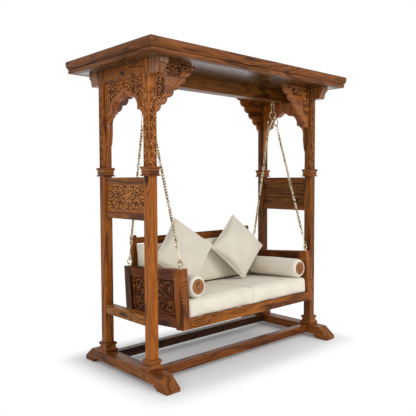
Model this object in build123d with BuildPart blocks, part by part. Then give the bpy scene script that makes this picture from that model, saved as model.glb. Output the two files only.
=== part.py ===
from build123d import *
import os
from math import cos, radians, sin

# Jhoola: a sheesham frame with a roof, and a cushioned seat hung in it on four brass chains.
# Millimetres. X runs along the seat, Y from front to back, Z up.
# The origin is on the floor under the middle of the frame.

os.makedirs("parts", exist_ok=True)

# Driving dimensions of the frame
base_width = 1710
skid_width = 102
skid_length = 935
skid_height = 92
foot_length = 104
foot_rise = 30
nose_height = 30
nose_run = 78
post_size = 64
post_y = 254
roof_underside = 2005
roof_top = 2089
roof_width = 1938
roof_depth = 973

# Driving dimensions of the seat
seat_tilt = radians(4.23)
seat_front_y = -400
seat_bottom_z = 338.4
seat_half_width = 669
seat_depth = 623
arm_height = 383
arm_thickness = 60
stile_width = 70
back_height = 592
cushion_thickness = 120

# Driving dimensions of the suspension
chain_x = 640
rod_length = 246
hook_thickness = 9

# Small round pieces have few sides, to keep the model light
ring_sides = 10
shank_sides = 8

# Worked out from those
post_x = (base_width - skid_width) / 2
post_half = post_size / 2
rail_length = 2 * (post_y - post_half)
arm_inner_x = seat_half_width - arm_thickness
sides = (("left", -1), ("right", 1))
ends = (("front", -1), ("back", 1))
post_places = [(sx * post_x, ey * post_y) for _, sx in sides for _, ey in ends]


def cut_arc(start, middle, end, count):
    """Points along an arc, for the few straight cuts that keep the model light."""
    arc = Edge.make_three_point_arc(Vector(start), Vector(middle), Vector(end))
    return [arc @ (step / count) for step in range(count + 1)]


def bent_bar(points, width):
    """A flat bar along points of a sketch, mitred at its bends."""
    points = [Vector(point) for point in points]
    runs = [(after - before).normalized() for before, after in zip(points, points[1:])]
    edge = []
    for index in range(len(points)):
        before = runs[max(index - 1, 0)]
        after = runs[min(index, len(runs) - 1)]
        middle = (before + after).normalized()
        edge.append(Vector(-middle.Y, middle.X) * (width / 2 / middle.dot(before)))
    left = [point + offset for point, offset in zip(points, edge)]
    right = [point - offset for point, offset in zip(points, edge)]
    Polygon(*left, *right[::-1], align=None)


# ---------------------------------------------------------------- skids
skid_half = skid_length / 2
heel_y = skid_half - foot_length
heel_radius = 18
skid_chamfer = 5
stretcher_y = 238
stretcher_width = 58
stretcher_top = 88
stretcher_height = 58
bolt_z = stretcher_top - stretcher_height / 2
bolt_radius = 4
head_radius = 9
head_height = 5

for side, sx in sides:
    outer_face = Plane(origin=(sx * base_width / 2, 0, bolt_z), x_dir=(0, 1, 0), z_dir=(sx, 0, 0))
    with BuildPart() as skid:
        with BuildSketch(Plane.YZ.offset(sx * post_x)):
            with BuildLine():
                Polyline(
                    (0, skid_height),
                    (skid_half - nose_run, skid_height),
                    (skid_half, nose_height),
                    (skid_half, 0),
                    (heel_y, 0),
                    (heel_y - 6, foot_rise - heel_radius),
                )
                RadiusArc(
                    (heel_y - 6, foot_rise - heel_radius),
                    (heel_y - 6 - heel_radius, foot_rise),
                    heel_radius,
                )
                Line((heel_y - 6 - heel_radius, foot_rise), (0, foot_rise))
                mirror(about=Plane.YZ)
            make_face()
        extrude(amount=skid_width / 2, both=True)
        long_edges = skid.edges().filter_by(lambda e: abs(e.tangent_at(0.5).X) < 0.5)
        chamfer(long_edges.filter_by(lambda e: e.center().Z > nose_height), skid_chamfer)
        for radius, side_count, depth in (
            (head_radius + 1.5, ring_sides, head_height + 1),
            (bolt_radius + 0.5, shank_sides, skid_width),
        ):
            with BuildSketch(outer_face):
                with Locations((-stretcher_y, 0), (stretcher_y, 0)):
                    RegularPolygon(radius, side_count)
            extrude(amount=-depth, mode=Mode.SUBTRACT)
    skid.part.label = f"skid_{side}"
    export_step(skid.part, f"parts/skid_{side}.step")


# ---------------------------------------------------------------- stretchers and their bolts
stretcher_half = post_x - skid_width / 2
nut_radius = 7
nut_height = 34
nut_x = stretcher_half - 113

for end, ey in ends:
    with BuildPart() as stretcher:
        with BuildSketch(Plane.XY.offset(stretcher_top - stretcher_height)):
            with Locations((0, ey * stretcher_y)):
                Rectangle(2 * stretcher_half, stretcher_width)
        extrude(amount=stretcher_height)
        chamfer(stretcher.edges().filter_by(Axis.X), 3)
        with BuildSketch(Plane.XY.offset(stretcher_top)):
            with Locations((-nut_x, ey * stretcher_y), (nut_x, ey * stretcher_y)):
                RegularPolygon(nut_radius + 0.5, ring_sides)
        extrude(amount=-(nut_height + stretcher_height) / 2, mode=Mode.SUBTRACT)
        for _, sx in sides:
            end_face = Plane(
                origin=(sx * stretcher_half, ey * stretcher_y, bolt_z), x_dir=(0, 1, 0), z_dir=(sx, 0, 0)
            )
            with BuildSketch(end_face):
                RegularPolygon(bolt_radius + 0.5, shank_sides)
            extrude(amount=nut_x - stretcher_half, mode=Mode.SUBTRACT)
    stretcher.part.label = f"stretcher_{end}"
    export_step(stretcher.part, f"parts/stretcher_{end}.step")

beam_bolt_z = 1960
beam_bolt_radius = 5
beam_head_radius = 16
beam_head_height = 4
top_rail_thickness = 52
beam_half = post_x - top_rail_thickness / 2
beam_bolt_length = 150
bolt_heads_x = base_width / 2 - 1

with BuildPart() as frame_bolts:
    for _, sx in sides:
        for _, ey in ends:
            bolt_plane = Plane(
                origin=(sx * bolt_heads_x, ey * stretcher_y, bolt_z), x_dir=(0, 1, 0), z_dir=(-sx, 0, 0)
            )
            with BuildSketch(bolt_plane):
                RegularPolygon(head_radius, 6)
            extrude(amount=head_height)
            with BuildSketch(bolt_plane.offset(head_height)):
                RegularPolygon(bolt_radius, shank_sides)
            extrude(amount=bolt_heads_x - nut_x - head_height)
            with BuildSketch(Plane.XY.offset(bolt_z - nut_height / 2)):
                with Locations((sx * nut_x, ey * stretcher_y)):
                    RegularPolygon(nut_radius, ring_sides)
            extrude(amount=nut_height)
        beam_bolt_plane = Plane(
            origin=(sx * (post_x + top_rail_thickness / 2 - 1), 0, beam_bolt_z),
            x_dir=(0, 1, 0),
            z_dir=(-sx, 0, 0),
        )
        with BuildSketch(beam_bolt_plane):
            RegularPolygon(beam_head_radius, ring_sides)
        extrude(amount=beam_head_height)
        with BuildSketch(beam_bolt_plane.offset(beam_head_height)):
            RegularPolygon(beam_bolt_radius, shank_sides)
        extrude(amount=beam_bolt_length)
frame_bolts.part.label = "frame_bolts"
export_step(frame_bolts.part, "parts/frame_bolts.step")


# ---------------------------------------------------------------- slanted wood screws
# Arches and brackets are toe-screwed to the posts from the inside, with each head down in a slanted pocket.
screw_radius = 2
screw_sides = 6
screw_length = 44
screw_head_radius = 4
screw_head_start = 2
screw_head_end = 5
pocket_clear = 10
arch_screw_y = 205
arch_screw_heights = (1812, 1890)
bracket_screw_inset = 16
bracket_screw_heights = (1790, 1975)
bracket_thickness = 24


def screw_planes(sx, ey, for_arch):
    """The planes at which the screws of one post start, on the arch's or on the bracket's inner face."""
    if for_arch:
        slant = Vector(sx * 0.64, ey * 0.77, 0)
        places = [(sx * (post_x - post_half), ey * arch_screw_y, z) for z in arch_screw_heights]
    else:
        slant = Vector(sx * 0.77, ey * 0.64, 0)
        inner_x = post_x - post_half - bracket_screw_inset
        places = [(sx * inner_x, ey * (post_y - bracket_thickness / 2), z) for z in bracket_screw_heights]
    return [Plane(origin=place, z_dir=slant) for place in places]


def drill_for_screws(planes, with_pocket=True):
    """Cuts pilot holes in the piece being made, and the pockets that the heads sit in."""
    with BuildSketch(*planes) as pilots:
        RegularPolygon(screw_radius + 0.1, screw_sides)
    extrude(pilots.sketch, amount=screw_length + 1, mode=Mode.SUBTRACT)
    if with_pocket:
        with BuildSketch(*[plane.offset(-pocket_clear) for plane in planes]) as pockets:
            RegularPolygon(screw_head_radius + 0.3, screw_sides)
        extrude(pockets.sketch, amount=pocket_clear + screw_head_end, mode=Mode.SUBTRACT)


with BuildPart() as wood_screws:
    for _, sx in sides:
        for _, ey in ends:
            for for_arch in (True, False):
                screw_starts = screw_planes(sx, ey, for_arch)
                with BuildSketch(*[plane.offset(screw_head_start) for plane in screw_starts]):
                    RegularPolygon(screw_head_radius, screw_sides)
                extrude(amount=screw_head_end - screw_head_start)
                with BuildSketch(*[plane.offset(screw_head_end) for plane in screw_starts]):
                    RegularPolygon(screw_radius, screw_sides)
                extrude(amount=screw_length - screw_head_end)
wood_screws.part.label = "wood_screws"
export_step(wood_screws.part, "parts/wood_screws.step")


# ---------------------------------------------------------------- posts and their mouldings
post_chamfer = 6

for side, sx in sides:
    for end, ey in ends:
        with BuildPart() as post:
            with BuildSketch(Plane.XY.offset(skid_height)):
                with Locations((sx * post_x, ey * post_y)):
                    Rectangle(post_size, post_size)
            extrude(amount=roof_underside - skid_height)
            chamfer(post.edges().filter_by(Axis.Z), post_chamfer)
            drill_for_screws(screw_planes(sx, ey, True), with_pocket=False)
            drill_for_screws(screw_planes(sx, ey, False), with_pocket=False)
        post.part.label = f"post_{end}_{side}"
        export_step(post.part, f"parts/post_{end}_{side}.step")


def post_moulding(bottom, draw_profile):
    """A mitred moulding round a post that stands at the origin.
    The profile's x is the distance out of the post's face, and its y the height above bottom."""
    face_y = -post_half
    with BuildPart() as moulding:
        with BuildLine(Plane.XY.offset(bottom)) as round_post:
            Polyline(
                (0, face_y),
                (post_half, face_y),
                (post_half, -face_y),
                (-post_half, -face_y),
                (-post_half, face_y),
                close=True,
            )
        with BuildSketch(Plane(origin=(0, face_y, bottom), x_dir=(0, -1, 0), z_dir=(-1, 0, 0))):
            with BuildLine():
                draw_profile()
            make_face()
        sweep(path=round_post.wire(), transition=Transition.RIGHT)
    return moulding.part


def base_profile():
    """A torus plinth, a neck and a smaller bead, run out to the post."""
    torus = cut_arc((15, 0), (18, 17), (13, 34), 4)
    Polyline((0, 73), (0, 0), *torus, (8, 44), (11, 48), (11, 57), (8, 62), (0, 73))


def collar_profile():
    """A bottom lip, a flat band, and a cove that opens to the top lip."""
    lip = [(10, 0), (13, 3), (13, 8), (9, 12), (9, 34)]
    cove = [(7, 37), (8, 44), (13, 48), (13, 55), (8, 59)]
    Polyline((0, 59), (0, 0), *lip, *cove, (0, 59))


collar_bottom = 1302

with BuildPart() as post_bases:
    with Locations(*post_places):
        add(post_moulding(skid_height, base_profile))
post_bases.part.label = "post_bases"
export_step(post_bases.part, "parts/post_bases.step")

with BuildPart() as post_collars:
    with Locations(*post_places):
        add(post_moulding(collar_bottom, collar_profile))
post_collars.part.label = "post_collars"
export_step(post_collars.part, "parts/post_collars.step")


# ---------------------------------------------------------------- rails and panels of the two side frames
side_rail_bottom = 367
side_rail_height = 60
panel_rail_thickness = 44
panel_rail_height = 46
panel_bottom = 1070
panel_top = 1249
panel_thickness = 20
groove_depth = 8
top_rail_bottom = 1915

for side, sx in sides:
    with BuildPart() as side_rail:
        with BuildSketch(Plane.XY.offset(side_rail_bottom)):
            with Locations((sx * post_x, 0)):
                Rectangle(post_size - 4, rail_length)
        extrude(amount=side_rail_height)
        chamfer(side_rail.edges().filter_by(Axis.Y), 3)
    side_rail.part.label = f"side_rail_{side}"
    export_step(side_rail.part, f"parts/side_rail_{side}.step")

    with BuildPart() as panel_rails:
        for bottom in (panel_bottom - panel_rail_height, panel_top):
            with BuildSketch(Plane.XY.offset(bottom)):
                with Locations((sx * post_x, 0)):
                    Rectangle(panel_rail_thickness, rail_length)
            extrude(amount=panel_rail_height)
        chamfer(panel_rails.edges().filter_by(Axis.Y), 4)
        with BuildSketch(Plane.XY.offset(panel_bottom - groove_depth)):
            with Locations((sx * post_x, 0)):
                Rectangle(panel_thickness, rail_length)
        extrude(amount=panel_top - panel_bottom + 2 * groove_depth, mode=Mode.SUBTRACT)
    panel_rails.part.label = f"panel_rails_{side}"
    export_step(panel_rails.part, f"parts/panel_rails_{side}.step")

    with BuildPart() as carved_panel:
        with BuildSketch(Plane.XY.offset(panel_bottom - groove_depth)):
            with Locations((sx * post_x, 0)):
                Rectangle(panel_thickness, rail_length)
        extrude(amount=panel_top - panel_bottom + 2 * groove_depth)
    carved_panel.part.label = f"carved_panel_{side}"
    export_step(carved_panel.part, f"parts/carved_panel_{side}.step")

    with BuildPart() as top_rail:
        with BuildSketch(Plane.XY.offset(top_rail_bottom)):
            with Locations((sx * post_x, 0)):
                Rectangle(top_rail_thickness, rail_length)
        extrude(amount=roof_underside - top_rail_bottom)
        rail_face = Plane(
            origin=(sx * (post_x + top_rail_thickness / 2), 0, beam_bolt_z), x_dir=(0, 1, 0), z_dir=(sx, 0, 0)
        )
        for radius, side_count, depth in (
            (beam_head_radius + 1, ring_sides, beam_head_height + 1),
            (beam_bolt_radius + 0.5, shank_sides, top_rail_thickness),
        ):
            with BuildSketch(rail_face):
                RegularPolygon(radius, side_count)
            extrude(amount=-depth, mode=Mode.SUBTRACT)
    top_rail.part.label = f"top_rail_{side}"
    export_step(top_rail.part, f"parts/top_rail_{side}.step")


# ---------------------------------------------------------------- cusped arches of the side frames
arch_inner_x = post_x - post_half
arch_thickness = 50
arch_apex_z = 1845
arch_crown = (62, 1806)
arch_shoulder = (143, 1719)
arch_foot = (208, 1645)
arch_tail_z = 1508
post_face_y = post_y - post_half

for side, sx in sides:
    with BuildPart() as arch:
        with BuildSketch(Plane.YZ.offset(sx * arch_inner_x)):
            with BuildLine():
                Polyline(
                    (0, arch_apex_z),
                    (0, top_rail_bottom),
                    (post_face_y, top_rail_bottom),
                    *cut_arc((post_face_y, arch_tail_z), (210, 1576), arch_foot, 4),
                    *cut_arc(arch_foot, (191, 1695), arch_shoulder, 6)[1:],
                    *cut_arc(arch_shoulder, (126, 1783), arch_crown, 8)[1:],
                    (0, arch_apex_z),
                )
            make_face()
        extrude(amount=sx * arch_thickness)
        mirror(about=Plane.XZ)
        # The two halves meet on the middle line with a saw-cut joint.
        with BuildSketch(Plane.YZ.offset(sx * arch_inner_x)):
            with Locations((0, (arch_apex_z + top_rail_bottom) / 2)):
                Rectangle(0.8, top_rail_bottom - arch_apex_z + 20)
        extrude(amount=sx * arch_thickness, mode=Mode.SUBTRACT)
        for _, ey in ends:
            drill_for_screws(screw_planes(sx, ey, True))
    arch.part.label = f"arch_{side}"
    export_step(arch.part, f"parts/arch_{side}.step")


# ---------------------------------------------------------------- corbels and scalloped brackets
corbel_height = roof_underside - top_rail_bottom

with BuildPart() as corbels:
    for _, sx in sides:
        with BuildSketch(Plane.YZ.offset(sx * post_x)):
            with BuildLine():
                Polyline(
                    (post_y + post_half, top_rail_bottom),
                    (post_y + post_half, roof_underside),
                    (post_y + post_half + 115, roof_underside),
                    (post_y + post_half + 113, roof_underside - 34),
                )
                ThreePointArc(
                    (post_y + post_half + 113, roof_underside - 34),
                    (post_y + post_half + 101, roof_underside - 38),
                    (post_y + post_half + 94, roof_underside - 49),
                )
                Polyline(
                    (post_y + post_half + 94, roof_underside - 49),
                    (post_y + post_half + 84, top_rail_bottom + 6),
                    (post_y + post_half + 78, top_rail_bottom),
                    (post_y + post_half, top_rail_bottom),
                )
            make_face()
        extrude(amount=post_half, both=True)
    mirror(about=Plane.XZ)
corbels.part.label = "corbels"
export_step(corbels.part, "parts/corbels.step")

bracket_reach = 314
bracket_drop = 310
bracket_strip = 12
scallop_count = 6
scallop_bulge = 13

for end, ey in ends:
    for side, sx in sides:
        inner_face_x = post_x - post_half
        tip = Vector(inner_face_x - bracket_reach + 8, roof_underside - bracket_strip)
        toe = Vector(inner_face_x, roof_underside - bracket_drop)
        along = (toe - tip) / scallop_count
        outward = Vector(along.Y, -along.X).normalized() * scallop_bulge
        with BuildPart() as bracket:
            with BuildSketch(Plane.XZ.offset(-ey * post_y)):
                with BuildLine():
                    scallops = []
                    for index in range(scallop_count):
                        start = tip + along * index
                        scallops += cut_arc(start, start + along * 0.5 + outward, start + along, 5)[1:]
                    Polyline(
                        (inner_face_x, roof_underside),
                        (inner_face_x - bracket_reach - 14, roof_underside),
                        (inner_face_x - bracket_reach - 14, roof_underside - bracket_strip),
                        tip,
                        *scallops,
                        (inner_face_x, roof_underside),
                    )
                make_face()
                if sx < 0:
                    mirror(about=Plane.YZ, mode=Mode.REPLACE)
            extrude(amount=bracket_thickness / 2, both=True)
            drill_for_screws(screw_planes(sx, ey, False))
        bracket.part.label = f"bracket_{end}_{side}"
        export_step(bracket.part, f"parts/bracket_{end}_{side}.step")


# ---------------------------------------------------------------- main beam and its screw eyes
beam_width = 90
beam_bottom = 1917
eye_plate = 7
eye_outer = 16
eye_hole = 9
pin_radius = 3.5
swing_axis_z = 1894
eye_centre_z = swing_axis_z + eye_hole - pin_radius - 0.3
eye_shank_radius = 5
eye_shank_length = 60
eye_collar_radius = 14

with BuildPart() as main_beam:
    with BuildSketch(Plane.XY.offset(beam_bottom)):
        Rectangle(2 * beam_half, beam_width)
    extrude(amount=roof_underside - beam_bottom)
    chamfer(main_beam.edges().filter_by(Axis.X).group_by(Axis.Z)[0], 3)
    with BuildSketch(Plane.XY.offset(beam_bottom)):
        with Locations((-chain_x, 0), (chain_x, 0)):
            RegularPolygon(eye_shank_radius, shank_sides)
    extrude(amount=eye_shank_length, mode=Mode.SUBTRACT)
    for _, sx in sides:
        with BuildSketch(Plane(origin=(sx * beam_half, 0, beam_bolt_z), x_dir=(0, 1, 0), z_dir=(sx, 0, 0))):
            RegularPolygon(beam_bolt_radius + 0.5, shank_sides)
        extrude(amount=-beam_bolt_length, mode=Mode.SUBTRACT)
main_beam.part.label = "main_beam"
export_step(main_beam.part, "parts/main_beam.step")

with BuildPart() as beam_eyes:
    for _, sx in sides:
        with BuildSketch(Plane.YZ.offset(sx * chain_x)):
            with Locations((0, eye_centre_z)):
                RegularPolygon(eye_outer, ring_sides)
            with Locations((0, beam_bottom - 8)):
                Rectangle(2 * eye_shank_radius, 14)
            with Locations((0, eye_centre_z)):
                Circle(eye_hole, mode=Mode.SUBTRACT)
        extrude(amount=eye_plate / 2, both=True)
        with BuildSketch(Plane.XY.offset(beam_bottom - 4)):
            with Locations((sx * chain_x, 0)):
                RegularPolygon(eye_collar_radius, ring_sides)
        extrude(amount=4)
        with BuildSketch(Plane.XY.offset(beam_bottom)):
            with Locations((sx * chain_x, 0)):
                RegularPolygon(eye_shank_radius - 0.05, shank_sides)
        extrude(amount=eye_shank_length - 1)
beam_eyes.part.label = "beam_eyes"
export_step(beam_eyes.part, "parts/beam_eyes.step")


# ---------------------------------------------------------------- roof
cornice_width = 62
panel_board = 12
roof_board = 15
batten_width = 32
batten_count = 5
roof_height = roof_top - roof_underside


def cornice_profile():
    """An ogee fascia over a small lower bead. x is the distance in from the roof's outer edge, negated."""
    Polyline((-cornice_width, 0), (-20, 0))
    ThreePointArc((-20, 0), (-11, 12), (-13, 27))
    Polyline((-13, 27), (-18, 30), (-18, 35), (-15, 37))
    ThreePointArc((-15, 37), (-5, 47), (-2, 62))
    ThreePointArc((-2, 62), (0, 70), (-1, 78))
    Polyline((-1, 78), (-6, roof_height), (-cornice_width, roof_height), (-cornice_width, 0))


def cornice_strip(length, reach):
    """A cornice strip along X whose outer face looks to the front, with mitred ends."""
    with BuildPart() as strip:
        with BuildSketch(Plane(origin=(0, -reach, roof_underside), x_dir=(0, -1, 0), z_dir=(-1, 0, 0))):
            with BuildLine():
                cornice_profile()
            make_face()
        extrude(amount=length / 2, both=True)
        for _, sx in sides:
            corner = (sx * length / 2, -reach, roof_underside)
            mitre = Plane(origin=corner, x_dir=(0, 0, 1), z_dir=(-sx, -1, 0))
            split(bisect_by=mitre, keep=Keep.TOP)
    return strip.part


with BuildPart() as cornice_long:
    add(cornice_strip(roof_width, roof_depth / 2))
    mirror(about=Plane.XZ)
cornice_long.part.label = "cornice_long"
export_step(cornice_long.part, "parts/cornice_long.step")

with BuildPart() as cornice_short:
    add(cornice_strip(roof_depth, roof_width / 2), rotation=(0, 0, 90))
    mirror(about=Plane.YZ)
cornice_short.part.label = "cornice_short"
export_step(cornice_short.part, "parts/cornice_short.step")

inside_width = roof_width - 2 * cornice_width
inside_depth = roof_depth - 2 * cornice_width

with BuildPart() as ceiling_panel:
    with BuildSketch(Plane.XY.offset(roof_underside)):
        Rectangle(inside_width, inside_depth)
    extrude(amount=panel_board)
ceiling_panel.part.label = "ceiling_panel"
export_step(ceiling_panel.part, "parts/ceiling_panel.step")

with BuildPart() as roof_boards:
    with BuildSketch(Plane.XY.offset(roof_top - roof_board)):
        Rectangle(inside_width, inside_depth)
    extrude(amount=roof_board)
roof_boards.part.label = "roof_boards"
export_step(roof_boards.part, "parts/roof_boards.step")

with BuildPart() as roof_battens:
    with BuildSketch(Plane.XY.offset(roof_underside + panel_board)):
        with GridLocations((inside_width - batten_width) / (batten_count - 1), 1, batten_count, 1):
            Rectangle(batten_width, inside_depth)
    extrude(amount=roof_height - panel_board - roof_board)
roof_battens.part.label = "roof_battens"
export_step(roof_battens.part, "parts/roof_battens.step")


# ---------------------------------------------------------------- the seat's own planes
# The seat hangs tilted back. Its pieces are drawn on planes square to it,
# measured from the front edge of its underside.
seat_up = Vector(0, sin(seat_tilt), cos(seat_tilt))
seat_back = Vector(0, cos(seat_tilt), -sin(seat_tilt))
seat_corner = Vector(0, seat_front_y, seat_bottom_z)


def seat_level(height):
    """A level of the seat: x along it, y from its front to its back."""
    return Plane(origin=seat_corner + seat_up * height, x_dir=(1, 0, 0), z_dir=seat_up)


def seat_side(x):
    """A section across the seat: x from its front to its back, y up, facing +X."""
    return Plane(origin=seat_corner + Vector(x, 0, 0), x_dir=seat_back, z_dir=(1, 0, 0))


def seat_face(depth):
    """A plane parallel to the seat's front: x along it, y up, facing the front."""
    return Plane(origin=seat_corner + seat_back * depth, x_dir=(1, 0, 0), z_dir=-seat_back)


rise = Axis(seat_corner, seat_up)
run = Axis(seat_corner, seat_back)


# ---------------------------------------------------------------- arms
arm_centre_x = seat_half_width - arm_thickness / 2
rail_span = seat_depth - 2 * stile_width
arm_top_rail = 63
arm_bottom_rail = 76
arm_bottom_rail_base = 8
arm_panel_base = arm_bottom_rail_base + arm_bottom_rail
arm_panel_top = arm_height - arm_top_rail
arm_panel_thickness = 24
arm_rail_thickness = 52

for side, sx in sides:
    with BuildPart() as arm_stiles:
        with BuildSketch(seat_level(0)):
            with Locations(
                (sx * arm_centre_x, stile_width / 2), (sx * arm_centre_x, seat_depth - stile_width / 2)
            ):
                Rectangle(arm_thickness, stile_width)
        extrude(amount=arm_height)
        chamfer(arm_stiles.edges().group_by(rise)[-1], 4)
        with BuildSketch(seat_level(arm_panel_base - groove_depth)):
            with Locations((sx * arm_centre_x, seat_depth / 2)):
                Rectangle(arm_panel_thickness, rail_span + 2 * groove_depth)
        extrude(amount=arm_panel_top - arm_panel_base + 2 * groove_depth, mode=Mode.SUBTRACT)
    arm_stiles.part.label = f"arm_stiles_{side}"
    export_step(arm_stiles.part, f"parts/arm_stiles_{side}.step")

    with BuildPart() as arm_rails:
        for base, height in ((arm_bottom_rail_base, arm_bottom_rail), (arm_panel_top, arm_top_rail - 2)):
            with BuildSketch(seat_level(base)):
                with Locations((sx * arm_centre_x, seat_depth / 2)):
                    Rectangle(arm_rail_thickness, rail_span)
            extrude(amount=height)
        with BuildSketch(seat_level(arm_panel_base - groove_depth)):
            with Locations((sx * arm_centre_x, seat_depth / 2)):
                Rectangle(arm_panel_thickness, rail_span)
        extrude(amount=arm_panel_top - arm_panel_base + 2 * groove_depth, mode=Mode.SUBTRACT)
    arm_rails.part.label = f"arm_rails_{side}"
    export_step(arm_rails.part, f"parts/arm_rails_{side}.step")

    with BuildPart() as arm_panel:
        with BuildSketch(seat_level(arm_panel_base - groove_depth)):
            with Locations((sx * arm_centre_x, seat_depth / 2)):
                Rectangle(arm_panel_thickness, rail_span + 2 * groove_depth)
        extrude(amount=arm_panel_top - arm_panel_base + 2 * groove_depth)
    arm_panel.part.label = f"arm_panel_{side}"
    export_step(arm_panel.part, f"parts/arm_panel_{side}.step")


# ---------------------------------------------------------------- seat rails and slats
seat_rail_height = 65
seat_rail_thickness = 30
ledger_width = 22
ledger_base = 24
slat_thickness = 16
slat_width = 80
slat_count = 7
ledger_top = seat_rail_height - slat_thickness - 3
back_frame_front = seat_depth - 22

# Each rail has a ledger on its inner side that carries the slats.
with BuildPart() as seat_rail_front:
    with BuildSketch(seat_side(0)):
        with BuildLine():
            Polyline(
                (0, 0),
                (seat_rail_thickness, 0),
                (seat_rail_thickness, ledger_base),
                (seat_rail_thickness + ledger_width, ledger_base),
                (seat_rail_thickness + ledger_width, ledger_top),
                (seat_rail_thickness, ledger_top),
                (seat_rail_thickness, seat_rail_height),
                (0, seat_rail_height),
                close=True,
            )
        make_face()
    extrude(amount=arm_inner_x, both=True)
seat_rail_front.part.label = "seat_rail_front"
export_step(seat_rail_front.part, "parts/seat_rail_front.step")

back_rail_rear = back_frame_front
back_rail_front = back_rail_rear - seat_rail_thickness

with BuildPart() as seat_rail_back:
    with BuildSketch(seat_side(0)):
        with BuildLine():
            Polyline(
                (back_rail_rear, 0),
                (back_rail_front, 0),
                (back_rail_front, ledger_base),
                (back_rail_front - ledger_width, ledger_base),
                (back_rail_front - ledger_width, ledger_top),
                (back_rail_front, ledger_top),
                (back_rail_front, seat_rail_height),
                (back_rail_rear, seat_rail_height),
                close=True,
            )
        make_face()
    extrude(amount=arm_inner_x, both=True)
seat_rail_back.part.label = "seat_rail_back"
export_step(seat_rail_back.part, "parts/seat_rail_back.step")

slat_front = seat_rail_thickness + 1
slat_back = back_rail_front - 1

with BuildPart() as seat_slats:
    with BuildSketch(seat_level(ledger_top)):
        with Locations((0, (slat_front + slat_back) / 2)):
            with GridLocations((2 * arm_inner_x - slat_width - 20) / (slat_count - 1), 1, slat_count, 1):
                Rectangle(slat_width, slat_back - slat_front)
    extrude(amount=slat_thickness)
seat_slats.part.label = "seat_slats"
export_step(seat_slats.part, "parts/seat_slats.step")


# ---------------------------------------------------------------- back frame
back_stile_width = 46
back_stile_x = arm_inner_x - 2 - back_stile_width / 2
back_frame_thickness = seat_depth - back_frame_front
back_rail_top = 575
back_rail_height = 44
back_low_rail_base = 120
back_low_rail_height = 120
back_span = 2 * (back_stile_x - back_stile_width / 2)
back_slat_width = 68
back_slat_count = 13
back_slat_thickness = 22
back_slat_base = back_low_rail_base + back_low_rail_height
back_slat_top = back_rail_top - back_rail_height

with BuildPart() as back_stiles:
    with BuildSketch(seat_face(back_frame_front)):
        with Locations((-back_stile_x, back_height / 2), (back_stile_x, back_height / 2)):
            Rectangle(back_stile_width, back_height)
    extrude(amount=-back_frame_thickness)
    chamfer(back_stiles.edges().filter_by(run).group_by(rise)[-1], 6)
back_stiles.part.label = "back_stiles"
export_step(back_stiles.part, "parts/back_stiles.step")

with BuildPart() as back_rails:
    with BuildSketch(seat_face(back_frame_front)):
        with Locations((0, back_low_rail_base + back_low_rail_height / 2)):
            Rectangle(back_span, back_low_rail_height)
        with Locations((0, back_rail_top - back_rail_height / 2)):
            Rectangle(back_span, back_rail_height)
    extrude(amount=-back_frame_thickness)
back_rails.part.label = "back_rails"
export_step(back_rails.part, "parts/back_rails.step")

with BuildPart() as back_slats:
    with BuildSketch(seat_face(back_frame_front + (back_frame_thickness - back_slat_thickness) / 2)):
        with Locations((0, (back_slat_base + back_slat_top) / 2)):
            with GridLocations((back_span - back_slat_width) / (back_slat_count + 1), 1, back_slat_count, 1):
                Rectangle(back_slat_width, back_slat_top - back_slat_base)
    extrude(amount=-back_slat_thickness)
back_slats.part.label = "back_slats"
export_step(back_slats.part, "parts/back_slats.step")


# ---------------------------------------------------------------- eye bolts on the arms
arm_eye_outer = 22
arm_eye_inner = 13.5
arm_eye_plate = 8
arm_eye_height = 30
arm_eye_depths = (32, seat_depth - 32)
arm_eye_band = (arm_eye_outer + arm_eye_inner) / 2

with BuildPart() as arm_eyes:
    for _, sx in sides:
        for depth in arm_eye_depths:
            with BuildSketch(seat_face(depth)):
                with Locations((sx * arm_centre_x, arm_height + arm_eye_height)):
                    RegularPolygon(arm_eye_outer, ring_sides)
                with Locations((sx * arm_centre_x, arm_height + 6)):
                    Rectangle(9, 12)
                with Locations((sx * arm_centre_x, arm_height + arm_eye_height)):
                    RegularPolygon(arm_eye_inner, ring_sides, mode=Mode.SUBTRACT)
            extrude(amount=arm_eye_plate / 2, both=True)
            with BuildSketch(seat_level(arm_height)):
                with Locations((sx * arm_centre_x, depth)):
                    RegularPolygon(11, ring_sides)
            extrude(amount=3)
arm_eyes.part.label = "arm_eyes"
export_step(arm_eyes.part, "parts/arm_eyes.step")


# ---------------------------------------------------------------- hanger links and double hooks
hanger_half_width = 14
hanger_bar = 6
hanger_drop = 64
hanger_band_z = swing_axis_z - hanger_drop
hook_top_z = hanger_band_z + hanger_bar / 2 + hook_thickness / 2 + 0.3
hook_bend_y = 37
hook_bend_z = 1716.5
link_seat_z = hook_bend_z + 8.9

# A round bar through the eye carries a flat U on which the double hook hangs.
with BuildPart() as hanger_links:
    for _, sx in sides:
        with BuildSketch(Plane.XZ):
            bent_bar(
                (
                    (sx * chain_x - hanger_half_width, swing_axis_z),
                    (sx * chain_x - hanger_half_width, hanger_band_z + 9),
                    (sx * chain_x - hanger_half_width / 2, hanger_band_z),
                    (sx * chain_x + hanger_half_width / 2, hanger_band_z),
                    (sx * chain_x + hanger_half_width, hanger_band_z + 9),
                    (sx * chain_x + hanger_half_width, swing_axis_z),
                ),
                hanger_bar,
            )
        extrude(amount=hanger_bar / 2, both=True)
        with BuildSketch(Plane.YZ.offset(sx * chain_x)):
            with Locations((0, swing_axis_z)):
                RegularPolygon(pin_radius, ring_sides)
        extrude(amount=hanger_half_width + hanger_bar / 2 + 2, both=True)
hanger_links.part.label = "hanger_links"
export_step(hanger_links.part, "parts/hanger_links.step")

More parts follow.
